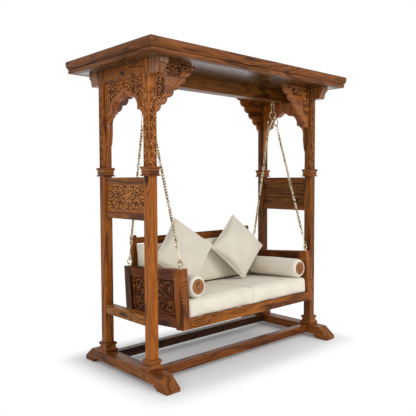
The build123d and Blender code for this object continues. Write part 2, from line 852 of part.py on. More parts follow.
with BuildPart() as double_hooks:
    for _, sx in sides:
        with BuildSketch(Plane.YZ.offset(sx * chain_x)):
            # The loop's two ends cross, and each goes on as the hook of the other side.
            half_loop = [(-3.5, 1747), (33, 1800), (32.5, 1812), (24, 1828), (9, hook_top_z)]
            other_half = [(-y, z) for y, z in half_loop[::-1]]
            bent_bar((*half_loop, *other_half), hook_thickness)
            for ey in (-1, 1):
                bend = cut_arc((ey * 24, 1724), (ey * hook_bend_y, hook_bend_z), (ey * 51, 1728), 5)
                bent_bar(((ey * -4, 1761), *bend, (ey * 48, 1762)), hook_thickness)
        extrude(amount=hook_thickness / 2, both=True)
double_hooks.part.label = "double_hooks"
export_step(double_hooks.part, "parts/double_hooks.step")


# ---------------------------------------------------------------- chains
# Every chain is a long top link on the hook, three rods joined by rings, and an end link on the arm's eye.
# Link by link the eyes turn a quarter, so each one sits in the next.
link_bar = 6
top_link_inner = 14
ring_outer = 15
ring_inner = 10
ring_plate = 5
rod_eye_outer = 11
rod_eye_hole = 6
rod_eye_plate = 6
rod_radius = 7.5
eye_to_ring = 13.7
end_eye_outer = 14
end_eye_hole = 8.7
end_bar = 7
top_link_length = 93
link_play = 1.3

for side, sx in sides:
    for end, ey in ends:
        eye_depth = arm_eye_depths[0] if ey < 0 else arm_eye_depths[1]
        start = Vector(sx * chain_x, ey * hook_bend_y, link_seat_z)
        arm_eye = seat_corner + seat_back * eye_depth + seat_up * (arm_height + arm_eye_height)
        arm_eye = Vector(sx * chain_x, arm_eye.Y, arm_eye.Z)
        band = arm_eye + seat_up * arm_eye_band
        down = (band - start).normalized()
        reach = (band - start).length - link_play
        flat = Plane(origin=start, x_dir=down, z_dir=(1, 0, 0))
        turned = Plane(origin=start, x_dir=down, z_dir=down.cross(Vector(1, 0, 0)))
        with BuildPart() as chain:
            # Top link
            with BuildSketch(turned) as top_link:
                with Locations((top_link_length / 2, 0)):
                    Rectangle(top_link_length + link_bar, top_link_inner + 2 * link_bar)
                    chamfer(top_link.vertices(), link_bar)
                    Rectangle(top_link_length - link_bar, top_link_inner, mode=Mode.SUBTRACT)
            extrude(amount=link_bar / 2, both=True)
            # Rods and rings
            place = top_link_length + link_play
            for _ in range(3):
                with BuildSketch(flat):
                    with Locations((place, 0), (place + rod_length, 0)):
                        RegularPolygon(rod_eye_outer, ring_sides)
                    with Locations((place + rod_length / 2, 0)):
                        Rectangle(rod_length - 2 * rod_eye_outer + 4, rod_eye_plate)
                    with Locations((place, 0), (place + rod_length, 0)):
                        RegularPolygon(rod_eye_hole, shank_sides, mode=Mode.SUBTRACT)
                extrude(amount=rod_eye_plate / 2, both=True)
                shaft_start = Plane(origin=start + down * (place + rod_eye_outer + 3), z_dir=down)
                with BuildSketch(shaft_start):
                    RegularPolygon(rod_radius, shank_sides)
                extrude(amount=rod_length - 2 * rod_eye_outer - 6)
                place += rod_length + eye_to_ring
                with BuildSketch(turned):
                    with Locations((place, 0)):
                        RegularPolygon(ring_outer, ring_sides)
                        RegularPolygon(ring_inner, ring_sides, mode=Mode.SUBTRACT)
                extrude(amount=ring_plate / 2, both=True)
                place += eye_to_ring
            # End link
            with BuildSketch(flat):
                with Locations((place, 0)):
                    RegularPolygon(rod_eye_outer, ring_sides)
                with Locations((reach, 0)):
                    RegularPolygon(end_eye_outer, ring_sides)
                with Locations(((place + reach) / 2, 0)):
                    Rectangle(reach - place - 16, end_bar)
                with Locations((place, 0)):
                    RegularPolygon(rod_eye_hole, shank_sides, mode=Mode.SUBTRACT)
                with Locations((reach, 0)):
                    RegularPolygon(end_eye_hole, shank_sides, mode=Mode.SUBTRACT)
            extrude(amount=rod_eye_plate / 2, both=True)
        chain.part.label = f"chain_{end}_{side}"
        export_step(chain.part, f"parts/chain_{end}_{side}.step")
        print(f"chain_{end}_{side}: reach {reach:.1f}, end link {reach - place:.1f}")


# ---------------------------------------------------------------- cushions
cushion_gap = 3
cushion_edge = 20
cushion_base = seat_rail_height + 1
cushion_top = cushion_base + cushion_thickness
seat_cushion_front = 10
seat_cushion_back = back_frame_front - 4
back_cushion_thickness = 100
back_cushion_base = cushion_top + 1.5
back_cushion_top = 520
back_cushion_front = seat_cushion_back - back_cushion_thickness
half_cushion = arm_inner_x - cushion_gap

for side, sx in sides:
    with BuildPart() as seat_cushion:
        with BuildSketch(seat_level(cushion_base)):
            with Locations((sx * (half_cushion + 1.5) / 2, (seat_cushion_front + seat_cushion_back) / 2)):
                Rectangle(half_cushion - 1.5, seat_cushion_back - seat_cushion_front)
        extrude(amount=cushion_thickness)
        chamfer(seat_cushion.faces().sort_by(run)[0].edges(), cushion_edge)
    seat_cushion.part.label = f"seat_cushion_{side}"
    export_step(seat_cushion.part, f"parts/seat_cushion_{side}.step")

with BuildPart() as back_cushion:
    with BuildSketch(seat_face(back_cushion_front)):
        with Locations((0, (back_cushion_base + back_cushion_top) / 2)):
            Rectangle(2 * half_cushion, back_cushion_top - back_cushion_base)
    extrude(amount=-back_cushion_thickness)
    chamfer(back_cushion.faces().sort_by(run)[0].edges(), cushion_edge)
back_cushion.part.label = "back_cushion"
export_step(back_cushion.part, "parts/back_cushion.step")

bolster_radius = 70
bolster_x = 523
bolster_front = 2
bolster_back = back_cushion_front - 4
bolster_height = cushion_top + bolster_radius + 1
medallion_radius = 47
medallion_thickness = 9
medallion_recess = 6
bolster_sides = 28

for side, sx in sides:
    with BuildPart() as bolster:
        with BuildSketch(seat_face(bolster_back)):
            with Locations((sx * bolster_x, bolster_height)):
                RegularPolygon(bolster_radius, bolster_sides)
        extrude(amount=bolster_back - bolster_front)
        chamfer(bolster.faces().sort_by(run)[0].edges(), 16)
        with BuildSketch(seat_face(bolster_front)):
            with Locations((sx * bolster_x, bolster_height)):
                RegularPolygon(medallion_radius + 0.5, bolster_sides)
        extrude(amount=-medallion_recess, mode=Mode.SUBTRACT)
    bolster.part.label = f"bolster_{side}"
    export_step(bolster.part, f"parts/bolster_{side}.step")

with BuildPart() as bolster_medallions:
    for _, sx in sides:
        with BuildSketch(seat_face(bolster_front + medallion_recess)):
            with Locations((sx * bolster_x, bolster_height)):
                RegularPolygon(medallion_radius, bolster_sides)
        extrude(amount=medallion_thickness)
bolster_medallions.part.label = "bolster_medallions"
export_step(bolster_medallions.part, "parts/bolster_medallions.step")

pillow_half_width = 286
pillow_half_height = 262
pillow_half_thickness = 58
pillow_edge = 6
pillow_crown = 0.62
pillow_x = 290
pillow_depth = 424
pillow_height = 449
pillow_lean = 12.3
pillow_turn = {"left": 0, "right": -3}

# Each pillow stands on a corner, and its own weight presses it a little wider than high.
for side, sx in sides:
    middle = seat_corner + seat_back * pillow_depth + seat_up * pillow_height + Vector(sx * pillow_x, 0, 0)
    lean = radians(pillow_lean)
    pillow_normal = -seat_back * cos(lean) + seat_up * sin(lean)
    pillow_plane = Plane(origin=middle, x_dir=(1, 0, 0), z_dir=pillow_normal)
    corners = (
        (-pillow_half_width, 0),
        (0, -pillow_half_height),
        (pillow_half_width, 0),
        (0, pillow_half_height),
    )
    crown_corners = [(pillow_crown * x, pillow_crown * y) for x, y in corners]
    with BuildPart() as pillow:
        for face_side in (1, -1):
            with BuildSketch(pillow_plane):
                Polygon(*corners, rotation=pillow_turn[side])
            extrude(amount=face_side * pillow_edge)
            with BuildSketch(pillow_plane.offset(face_side * pillow_edge)):
                Polygon(*corners, rotation=pillow_turn[side])
            with BuildSketch(pillow_plane.offset(face_side * pillow_half_thickness)):
                Polygon(*crown_corners, rotation=pillow_turn[side])
            loft(ruled=True)
    pillow.part.label = f"pillow_{side}"
    export_step(pillow.part, f"parts/pillow_{side}.step")
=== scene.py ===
from math import cos, pi, radians, sin, sqrt

import bmesh
import bpy
import numpy as np
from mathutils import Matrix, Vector


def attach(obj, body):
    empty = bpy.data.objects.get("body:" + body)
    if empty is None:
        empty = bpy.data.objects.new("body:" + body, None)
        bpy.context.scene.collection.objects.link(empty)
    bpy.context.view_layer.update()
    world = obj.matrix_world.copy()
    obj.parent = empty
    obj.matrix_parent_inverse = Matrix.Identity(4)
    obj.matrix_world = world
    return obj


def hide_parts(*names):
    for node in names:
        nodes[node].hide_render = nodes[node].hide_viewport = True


# A jhoola: a sheesham seat that swings on brass chains in a roofed frame.
# Sizes are millimetres in the frame's axes: X along the seat, Y from front to back, Z up.
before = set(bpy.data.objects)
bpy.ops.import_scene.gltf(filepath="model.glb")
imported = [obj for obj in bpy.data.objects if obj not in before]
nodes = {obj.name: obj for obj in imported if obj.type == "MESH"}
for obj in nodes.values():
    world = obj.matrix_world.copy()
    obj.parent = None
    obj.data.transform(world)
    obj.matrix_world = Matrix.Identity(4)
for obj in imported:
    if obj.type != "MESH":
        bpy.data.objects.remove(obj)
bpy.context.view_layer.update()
sides = (("left", -1), ("right", 1))
ends = (("front", -1), ("back", 1))


# ---------------------------------------------------------------- camera
# A camera on a tripod before the swing's left corner, at chest height, that looks very slightly down.
camera_place = (-2803.5, -2946.3, 1276.3)
camera_heading = 42.66
camera_dip = 2.96
camera_roll = 0.2
lens_focal_length = 46.88

camera_data = bpy.data.cameras.new("camera")
camera_data.sensor_width = 36
camera_data.lens = lens_focal_length
camera_data.clip_end = 60
camera = bpy.data.objects.new("camera", camera_data)
camera.location = Vector(camera_place) / 1000
camera.rotation_euler = (radians(90 - camera_dip), radians(camera_roll), radians(-camera_heading))
bpy.context.scene.collection.objects.link(camera)
bpy.context.scene.camera = camera
bpy.context.scene.view_settings.view_transform = "Standard"


# ---------------------------------------------------------------- studio
# A matt white floor that keeps a soft shadow near the swing and is pure white further off, under a white sky.
# A large soft lamp in front stands for the studio's window, and a weaker one fills from the left.
def colour(code):
    """The linear colour of an sRGB hex value."""
    parts = [int(code[i:i + 2], 16) / 255 for i in (0, 2, 4)]
    return [p / 12.92 if p <= 0.04045 else ((p + 0.055) / 1.055) ** 2.4 for p in parts] + [1]


def add_node(tree, kind, inputs=None, stops=(), **settings):
    """Adds a node with its settings, a ramp's stops, and inputs that are values, nodes or their sockets."""
    made = tree.nodes.new("ShaderNode" + kind)
    for name, value in settings.items():
        setattr(made, name, value)
    for index, (place, shade) in enumerate(stops):
        stop = made.color_ramp.elements[index] if index < 2 else made.color_ramp.elements.new(place)
        stop.position = place
        stop.color = shade
    for name, value in (inputs or {}).items():
        if isinstance(value, bpy.types.Node):
            value = next(socket for socket in value.outputs if socket.enabled)
        if isinstance(value, bpy.types.NodeSocket):
            tree.links.new(value, made.inputs[name])
        else:
            made.inputs[name].default_value = value
    return made


def new_material(name):
    """An empty node material, and its tree."""
    material = bpy.data.materials.new(name)
    material.use_nodes = True
    material.node_tree.nodes.clear()
    return material, material.node_tree


def seen_by(tree):
    """1 for rays that see a thing directly or in a shiny surface, and 0 for those that carry its light."""
    ray = add_node(tree, "LightPath").outputs
    seen = add_node(tree, "Math", {0: ray["Is Camera Ray"], 1: ray["Is Glossy Ray"]}, operation="MAXIMUM")
    return add_node(tree, "Math", {0: seen, 1: ray["Is Transmission Ray"]}, operation="MAXIMUM")


sky_light = 0.76
world = bpy.data.worlds.new("studio_sky")
world.use_nodes = True
world.node_tree.nodes.clear()
sky = add_node(world.node_tree, "Mix", {0: seen_by(world.node_tree), 2: sky_light, 3: 1.0})
background = add_node(world.node_tree, "Background", {"Color": (1, 1, 1, 1), "Strength": sky})
add_node(world.node_tree, "OutputWorld", {"Surface": background})
bpy.context.scene.world = world

floor_half = 14.0
swing_reach = (0.84, 0.44, 0)
white_near = 0.06
white_beyond = 0.26
floor_mesh = bpy.data.meshes.new("studio_floor")
floor_corners = [(x * floor_half, y * floor_half, 0) for x, y in ((-1, -1), (1, -1), (1, 1), (-1, 1))]
floor_mesh.from_pydata(floor_corners, [], [(0, 1, 2, 3)])
floor = bpy.data.objects.new("studio_floor", floor_mesh)
bpy.context.scene.collection.objects.link(floor)
floor_paint, tree = new_material("matt_white_floor")
spot = add_node(tree, "NewGeometry").outputs["Position"]
# The share of white grows with the way out from the rectangle that the swing stands on.
mirrored = add_node(tree, "VectorMath", {0: spot}, operation="ABSOLUTE")
outside = add_node(tree, "VectorMath", {0: mirrored, 1: swing_reach}, operation="SUBTRACT")
outside = add_node(tree, "VectorMath", {0: outside, 1: (0, 0, 0)}, operation="MAXIMUM")
away = add_node(tree, "VectorMath", {0: outside}, operation="LENGTH")
rise = {0: away, 1: 0.0, 2: white_beyond, 3: white_near, 4: 1.0}
plain = add_node(tree, "MapRange", rise, interpolation_type="SMOOTHSTEP")
share = add_node(tree, "Math", {0: plain, 1: seen_by(tree)}, operation="MULTIPLY")
matt = add_node(tree, "BsdfDiffuse", {"Color": colour("F0F3F5")})
white = add_node(tree, "Emission", {"Color": (1, 1, 1, 1), "Strength": 1.0})
mixed = add_node(tree, "MixShader", {0: share, 1: matt, 2: white})
add_node(tree, "OutputMaterial", {"Surface": mixed})
floor_mesh.materials.append(floor_paint)

for lamp_name, lamp_place, lamp_size, lamp_power in (
    ("window_lamp", (1.2, -4.9, 3.7), 3.2, 127),
    ("fill_lamp", (-5.0, -1.4, 2.4), 2.6, 39),
):
    lamp_data = bpy.data.lights.new(lamp_name, "AREA")
    lamp_data.size = lamp_size
    lamp_data.energy = lamp_power
    lamp = bpy.data.objects.new(lamp_name, lamp_data)
    lamp.location = lamp_place
    lamp.rotation_euler = (Vector((0, 0, 0.9)) - lamp.location).to_track_quat("-Z", "Y").to_euler()
    bpy.context.scene.collection.objects.link(lamp)


# ---------------------------------------------------------------- skids and stretchers
# Two solid sheesham sled feet, each sawn from one plank, with a stretcher between them in front and behind.
# Sheesham is Indian rosewood: honey to umber, near-black streaks and long open pores, under clear lacquer.
grain_x = (0, radians(90), 0)
grain_y = (radians(90), 0, 0)
grain_z = (0, 0, 0)


# Sizes across the grain, in millimetres, of what shows in the wood.
swell_size = 142.86
ruffle_size = 14.286
tone_size = 62.5
streak_size = 29.412
fibre_size = 1.6
pore_size = 0.8


def sheesham(
    name, light, middle, dark, grain, seed, streaks=0.5, figure=16.0, lustre=0.28, gloss=0.12, knots=(),
    carved=False, stain_and_shade=0.9, wear_and_highlight="CE8642", wear_and_highlight_share=0.55
):
    """Lacquered sheesham. The figure is drawn in the wood itself, so it runs through edges and ends: bands of
    about 15 to 30 mm, more of them with more figure, and pores 10 mm long. A knot is a middle, radii and a
    darkness. Real stain and painted shade darken a carving's ground by one share, and wear with a painted
    highlight pales its raised parts by another, towards a paler colour.
    """
    material, tree = new_material(name)
    spot = add_node(tree, "TexCoord").outputs["Object"]
    place = (seed, seed * 1.7, seed * 0.6)
    board = add_node(tree, "Mapping", {"Vector": spot, "Rotation": grain, "Location": place})
    along_swell = add_node(tree, "Mapping", {"Vector": board, "Scale": (1, 1, 0.13)})
    along_fibre = add_node(tree, "Mapping", {"Vector": board, "Scale": (1, 1, 0.03)})
    along_streak = add_node(tree, "Mapping", {"Vector": board, "Scale": (1, 1, 0.05)})
    along_pore = add_node(tree, "Mapping", {"Vector": board, "Scale": (1, 1, 0.045)})
    swell, ruffle, tone, streak, fibre, pore = (
        add_node(tree, "TexNoise", {"Vector": run, "Scale": 1000 / size, "Detail": fine, "Roughness": rough})
        for run, size, fine, rough in (
            (along_swell, swell_size, 2.0, 0.42), (along_swell, ruffle_size, 2.0, 0.5),
            (along_swell, tone_size, 3.0, 0.6), (along_streak, streak_size, 4.0, 0.62),
            (along_fibre, fibre_size, 2.0, 0.6), (along_pore, pore_size, 1.0, 0.5),
        )
    )
    rings = add_node(tree, "Math", {0: swell, 1: figure}, operation="MULTIPLY")
    rings = add_node(tree, "Math", {0: ruffle, 1: 0.9, 2: rings}, operation="MULTIPLY_ADD")
    blots = []
    for centre, radii, darkness in knots:
        # The rings bend round a knot, and its heart is dark.
        offset = add_node(tree, "VectorMath", {0: spot, 1: Vector(centre) / 1000}, operation="SUBTRACT")
        inverse = [1000 / radius for radius in radii]
        reach = add_node(tree, "VectorMath", {0: offset, 1: inverse}, operation="MULTIPLY")
        far = add_node(tree, "VectorMath", {0: reach}, operation="LENGTH")
        ragged = add_node(tree, "Math", {0: ruffle, 1: 0.7, 2: far}, operation="MULTIPLY_ADD")
        fade = {0: far, 1: 0.0, 2: 3.2, 3: 3.2, 4: 0.0}
        bend = add_node(tree, "MapRange", fade, interpolation_type="SMOOTHSTEP")
        rings = add_node(tree, "Math", {0: rings, 1: bend}, operation="ADD")
        blots.append(add_node(tree, "MapRange", {0: ragged, 1: 1.0, 2: 1.5, 3: darkness, 4: 0.0}))
    band = add_node(tree, "Math", {0: rings, 1: 1.0}, operation="PINGPONG")
    finish = add_node(
        tree, "ValToRGB", {0: band},
        stops=((0.0, colour(dark)), (0.24, colour(middle)), (0.62, colour(light)), (1.0, colour(middle))),
    )
    tone_share = add_node(tree, "MapRange", {0: tone, 1: 0.34, 2: 0.66, 3: 0.0, 4: 0.6})
    finish = add_node(tree, "Mix", {0: tone_share, 6: finish, 7: colour(middle)}, data_type="RGBA")
    streak_share = add_node(
        tree, "MapRange", {0: streak, 1: 0.72 - 0.2 * streaks, 2: 0.82 - 0.16 * streaks, 3: 0.0, 4: 0.85}
    )
    finish = add_node(tree, "Mix", {0: streak_share, 6: finish, 7: colour(dark)}, data_type="RGBA")
    for blot in blots:
        finish = add_node(tree, "Mix", {0: blot, 6: finish, 7: colour("1E0D06")}, data_type="RGBA")
    shade = add_node(tree, "MapRange", {0: fibre, 1: 0.3, 2: 0.7, 3: 0.72, 4: 1.16})
    finish = add_node(tree, "Mix", {0: 1.0, 6: finish, 7: shade}, data_type="RGBA", blend_type="MULTIPLY")
    pore_share = add_node(tree, "MapRange", {0: pore, 1: 0.66, 2: 0.72, 3: 0.0, 4: 0.6})
    finish = add_node(tree, "Mix", {0: pore_share, 6: finish, 7: colour("1C0F06")}, data_type="RGBA")
    if carved:
        level = add_node(tree, "Attribute", attribute_name="relief").outputs["Fac"]
        # Painted shade with real stain: the sunk ground is mixed towards a dark brown.
        stain_and_shade_share = add_node(tree, "MapRange", {0: level, 1: 0.1, 2: 0.72, 3: stain_and_shade, 4: 0.0})
        finish = add_node(tree, "Mix", {0: stain_and_shade_share, 6: finish, 7: colour("301206")}, data_type="RGBA")
        # Painted highlight with real wear: the carving's raised parts are mixed towards a paler colour.
        high = add_node(tree, "MapRange", {0: level, 1: 0.7, 2: 0.94, 3: 0.0, 4: wear_and_highlight_share})
        on_carving = add_node(tree, "Math", {0: level, 1: 0.994}, operation="LESS_THAN")
        wear_and_highlight_mask = add_node(tree, "Math", {0: high, 1: on_carving}, operation="MULTIPLY")
        finish = add_node(tree, "Mix", {0: wear_and_highlight_mask, 6: finish, 7: colour(wear_and_highlight)}, data_type="RGBA")
    height = add_node(tree, "Math", {0: fibre, 1: pore_share}, operation="SUBTRACT")
    bump = add_node(tree, "Bump", {"Height": height, "Strength": 0.22, "Distance": 0.0006})
    shine = add_node(tree, "MapRange", {0: tone, 1: 0.3, 2: 0.7, 3: lustre, 4: lustre + 0.12})
    lacquer = {"Roughness": shine, "Normal": bump, "IOR": 1.5, "Specular IOR Level": gloss}
    shader = add_node(tree, "BsdfPrincipled", {"Base Color": finish, **lacquer})
    add_node(tree, "OutputMaterial", {"Surface": shader})
    return material


edge_ease = 1.6


def dress(material, *names):
    """Gives the frame's own pieces their finish, and eases their edges as sandpaper does."""
    for name in names:
        for slot in nodes[name].material_slots:
            slot.material = material
        weld = nodes[name].modifiers.new("weld", "WELD")
        weld.merge_threshold = 0.00002
        ease = nodes[name].modifiers.new("ease", "BEVEL")
        ease.width = edge_ease / 1000
        ease.segments = 2
        ease.limit_method = "ANGLE"
        ease.angle_limit = radians(35)
        shade = nodes[name].modifiers.new("shade", "WEIGHTED_NORMAL")
        shade.keep_sharp = False


skid_wood = sheesham("lacquered_sheesham_skid", "9C5E28", "744018", "36180A", grain_y, 0.31, 0.35, 12)
stretcher_wood = sheesham(
    "lacquered_sheesham_stretcher", "985820", "6A3611", "281106", grain_x, 0.77, 0.6, lustre=0.24, gloss=0.14
)
# Painted shade: the back stretcher's colours are darkened for the shadow that the seat casts on it.
shaded_stretcher_wood = sheesham(
    "shaded_sheesham_stretcher", "5A3210", "3A1E09", "1A0C04", grain_x, 0.93, 0.7, lustre=0.24
)
dress(skid_wood, "skid_left", "skid_right")
dress(stretcher_wood, "stretcher_front")
dress(shaded_stretcher_wood, "stretcher_back")


# ---------------------------------------------------------------- bolts
# Blackened steel furniture bolts: hexagon heads in the skids' outer faces, round heads at the beam's ends.
# Hot oil has turned the steel almost black, with a dull shine left on the corners.
scale_size = 3.3
blued_steel, tree = new_material("oil_blackened_steel")
spot = add_node(tree, "TexCoord").outputs["Object"]
scale_marks = add_node(tree, "TexNoise", {"Vector": spot, "Scale": 1000 / scale_size, "Detail": 3.0})
steel_stops = ((0.35, colour("1D1B1A")), (0.7, colour("4A4541")))
steel_tone = add_node(tree, "ValToRGB", {0: scale_marks}, stops=steel_stops)
steel_rough = add_node(tree, "MapRange", {0: scale_marks, 1: 0.3, 2: 0.7, 3: 0.34, 4: 0.55})
blueing = {"Base Color": steel_tone, "Roughness": steel_rough, "Metallic": 0.9}
shader = add_node(tree, "BsdfPrincipled", blueing)
add_node(tree, "OutputMaterial", {"Surface": shader})
dress(blued_steel, "frame_bolts")


# ---------------------------------------------------------------- posts
# Four square sheesham posts, eased at the corners. Above the collar a carver has sunk a band of vine and leaf
# into the two outer faces between plain margins, with a small chisel line where the band ends.
post_x = 804
post_y = 254
post_half = 32
post_corner = 6
post_foot = 92
post_head = 2005
vine_bottom = 1363
vine_top = 1835
vine_margin = 4
ground_depth = 5
chisel_depth = 1.6
grid_step = 1.8


class Carving:
    """Heights over a board's face, one for each millimetre: 0 on the sunk ground and 1 at the face."""

    def __init__(self, low, high):
        self.low = np.array(low, float)
        self.size = np.ceil(np.array(high) - self.low).astype(int) + 1
        self.height = np.zeros(self.size)

    def raise_round(self, centre, reach, shape):
        """Raises the field to what shape gives for places measured from a centre."""
        offset = np.array(centre) - self.low
        start = np.maximum(np.floor(offset - reach).astype(int), 0)
        stop = np.minimum(np.ceil(offset + reach).astype(int) + 1, self.size)
        if (stop > start).all():
            across = np.arange(start[0], stop[0])[:, None] - offset[0]
            up = np.arange(start[1], stop[1])[None, :] - offset[1]
            window = self.height[start[0]:stop[0], start[1]:stop[1]]
            np.maximum(window, shape(across, up), out=window)

    def bead(self, centre, radius, top=1.0):
        """A round bead or a stem's section, steep at its sides."""
        def shape(across, up):
            return top * np.sqrt(np.clip(1 - ((across**2 + up**2) / radius**2) ** 2, 0, 1))

        self.raise_round(centre, radius, shape)

    def stem(self, points, width, end_width=None, top=0.85):
        """A round stem along points a millimetre or two apart."""
        widths = np.linspace(width, end_width or width, len(points))
        for point, thick in zip(points, widths):
            self.bead(point, thick / 2, top)

    def leaf(self, root, angle, length, width, top=0.98):
        """A lobed leaf with a sunk vein, from its root to its tip."""
        direction = np.array((cos(angle), sin(angle)))
        middle = np.array(root) + direction * length / 2

        def shape(across, up):
            along = np.clip((across * direction[0] + up * direction[1]) / length + 0.5, 0, 1)
            side = up * direction[0] - across * direction[1]
            half = width / 2 * np.sin(pi * along**0.7) * (0.84 + 0.16 * np.abs(np.cos(3 * pi * along))) + 0.01
            vein = 0.4 * np.exp(-((side / (0.06 * width + 0.6)) ** 2))
            blade = top * np.sqrt(np.clip(1 - (side / half) ** 4, 0, 1)) - vein
            return np.where(np.abs(side) < half, blade, 0)

        self.raise_round(middle, length / 2, shape)

    def flower(self, centre, radius, petals):
        """An open flower with a boss in its middle."""
        def shape(across, up):
            distance = np.hypot(across, up)
            angle = np.arctan2(up, across)
            edge = radius * (0.66 + 0.34 * np.abs(np.cos(petals * angle / 2)))
            petal = 0.95 * np.sqrt(np.clip(1 - (distance / edge) ** 3, 0, 1))
            gaps = 0.35 * np.abs(np.sin(petals * angle / 2)) ** 10
            gaps += 0.5 * np.exp(-((distance / radius - 0.34) / 0.07) ** 2)
            boss = np.sqrt(np.clip(1 - (distance / (0.28 * radius)) ** 2, 0, 1))
            return np.maximum(petal - gaps, boss)

        self.raise_round(centre, radius, shape)

    def curl(self, centre, radius, start, hand, width, turns=1.3, leaves=4):
        """A tendril that winds in to a bud, with leaves on its outer side."""
        centre = np.array(centre, float)
        share = np.linspace(0, 1, int(radius * turns * 6))
        angles = start + hand * turns * 2 * pi * share
        radii = radius * (1 - 0.78 * share)
        points = centre + np.stack([radii * np.cos(angles), radii * np.sin(angles)], 1)
        self.stem(points, width, 0.6 * width, 0.92)
        self.bead(centre, 0.26 * radius + 1)
        for index in range(leaves):
            angle = start + hand * (0.35 + index * 1.25)
            root = centre + radius * np.array((cos(angle), sin(angle)))
            self.leaf(root, angle + hand * 0.75, 0.75 * radius, 0.38 * radius)

    def fill(self, length, seed):
        """Small leaves wherever the ground is still bare."""
        random = np.random.default_rng(seed)
        reach = int(length / 3)
        for across in np.arange(length / 2, self.size[0] - 2, length * 0.45):
            for up in np.arange(length / 2, self.size[1] - 2, length * 0.45):
                spot_u, spot_v = (across + random.uniform(-2, 2), up + random.uniform(-2, 2))
                angle = random.uniform(0, 2 * pi)
                near = self.height[
                    max(int(spot_u) - reach, 0):int(spot_u) + reach + 1,
                    max(int(spot_v) - reach, 0):int(spot_v) + reach + 1,
                ]
                if near.size and near.mean() < 0.16:
                    root = self.low + (spot_u - length / 2 * cos(angle), spot_v - length / 2 * sin(angle))
                    self.leaf(root, angle, length, length * 0.45, 0.85)

    def at(self, u, v):
        """The height at places on the face, read between the millimetres."""
        across = np.clip(u - self.low[0], 0, self.size[0] - 1.001)
        up = np.clip(v - self.low[1], 0, self.size[1] - 1.001)
        column, row = across.astype(int), up.astype(int)
        right, above = across - column, up - row
        low = self.height[column, row] * (1 - right) + self.height[column + 1, row] * right
        high = self.height[column, row + 1] * (1 - right) + self.height[column + 1, row + 1] * right
        return low * (1 - above) + high * above

    def relief(self, u, v, inside, run=1.5):
        """The height at places, where plain wood runs down to the carving over the first millimetre or so."""
        return 1 - np.clip(inside / run, 0, 1) * (1 - np.clip(self.at(u, v), 0, 1))


def make_piece(name, body, material, points, faces, replaced=(), relief=None, sharp=50):
    """A mesh piece from points in millimetres, which rides on a body and may stand for nodes of the frame."""
    mesh = bpy.data.meshes.new(name)
    mesh.from_pydata((np.asarray(points, float) / 1000).tolist(), [], [list(face) for face in faces])
    if relief is not None:
        values = mesh.attributes.new("relief", "FLOAT", "POINT").data
        values.foreach_set("value", np.asarray(relief, np.float32).ravel())
    shell = bmesh.new()
    shell.from_mesh(mesh)
    bmesh.ops.remove_doubles(shell, verts=shell.verts, dist=0.00001)
    bmesh.ops.recalc_face_normals(shell, faces=shell.faces)
    shell.to_mesh(mesh)
    shell.free()
    mesh.shade_smooth()
    mesh.set_sharp_from_angle(angle=radians(sharp))
    mesh.materials.append(material)
    piece = bpy.data.objects.new(name, mesh)
    bpy.context.scene.collection.objects.link(piece)
    if relief is not None:
        # Broad flat faces keep their own direction up to the eased edges.
        shade = piece.modifiers.new("shade", "WEIGHTED_NORMAL")
        shade.keep_sharp = True
    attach(piece, body)
    if replaced:
        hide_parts(*replaced)
    return piece


def grid_faces(rows, columns, closed=False):
    """The quads of a grid of points that is stored row by row, and may close round on itself."""
    wide = columns if closed else columns - 1
    row, column = np.meshgrid(np.arange(rows - 1), np.arange(wide), indexing="ij")
    beside = (column + 1) % columns
    near, far = row * columns, (row + 1) * columns
    return np.stack([near + column, near + beside, far + beside, far + column], -1).reshape(-1, 4).tolist()


face_width = 2 * (post_half - post_corner)
post_vine = Carving((0, vine_bottom), (face_width, vine_top))
vine_wave = 112
vine_swing = 9
vine_z = np.arange(vine_bottom, vine_top, 1.0)
vine_middle = face_width / 2
vine_aside = vine_swing * np.sin(2 * pi * (vine_z - vine_bottom) / vine_wave)
post_vine.stem(np.stack([vine_middle + vine_aside, vine_z], 1), 7.5)
for count in range(int((vine_top - vine_bottom) / vine_wave * 2)):
    hand = 1 if count % 2 else -1
    bud_z = vine_bottom + vine_wave * (count + 0.5) / 2
    post_vine.curl((vine_middle + hand * 8, bud_z + 4), 13.5, pi / 2 - hand * pi / 2, hand, 6.5, 1.0, 2)
    post_vine.leaf((vine_middle - hand * 10, bud_z - 16), pi / 2 + hand * 0.45, 26, 14)
    post_vine.leaf((vine_middle - hand * 17, bud_z + 8), pi / 2 - hand * 0.5, 19, 11)
post_vine.fill(15, 5)

# The carved posts take stain with painted shade in their ground, and wear with a painted highlight on their
# raised parts.
post_wood = {
    ("front", "left"): sheesham(
        "lacquered_sheesham_post_a", "BC6E26", "904F19", "4C2408", grain_z, 0.13, 0.35, 17,
        knots=(((-836, -258, 1298), (24, 22, 66), 0.97),),
        carved=True, stain_and_shade=0.65, wear_and_highlight="DC9A62", wear_and_highlight_share=0.65,
    ),
    ("back", "left"): sheesham(
        "lacquered_sheesham_post_b", "A8621F", "7E4315", "3C1A07", grain_z, 1.91, 0.45,
        carved=True, stain_and_shade=0.65,
    ),
    ("front", "right"): sheesham(
        "lacquered_sheesham_post_c", "965920", "6A3B13", "331708", grain_z, 2.63, 0.45, 15,
        carved=True, stain_and_shade=0.6,
    ),
    ("back", "right"): sheesham(
        "lacquered_sheesham_post_d", "844E1E", "5C3010", "2A1205", grain_z, 3.37,
        carved=True, stain_and_shade=0.6,
    ),
}
across_face = np.linspace(0, face_width, int(face_width / grid_step) + 1)
count = len(across_face)
flat_half = face_width / 2
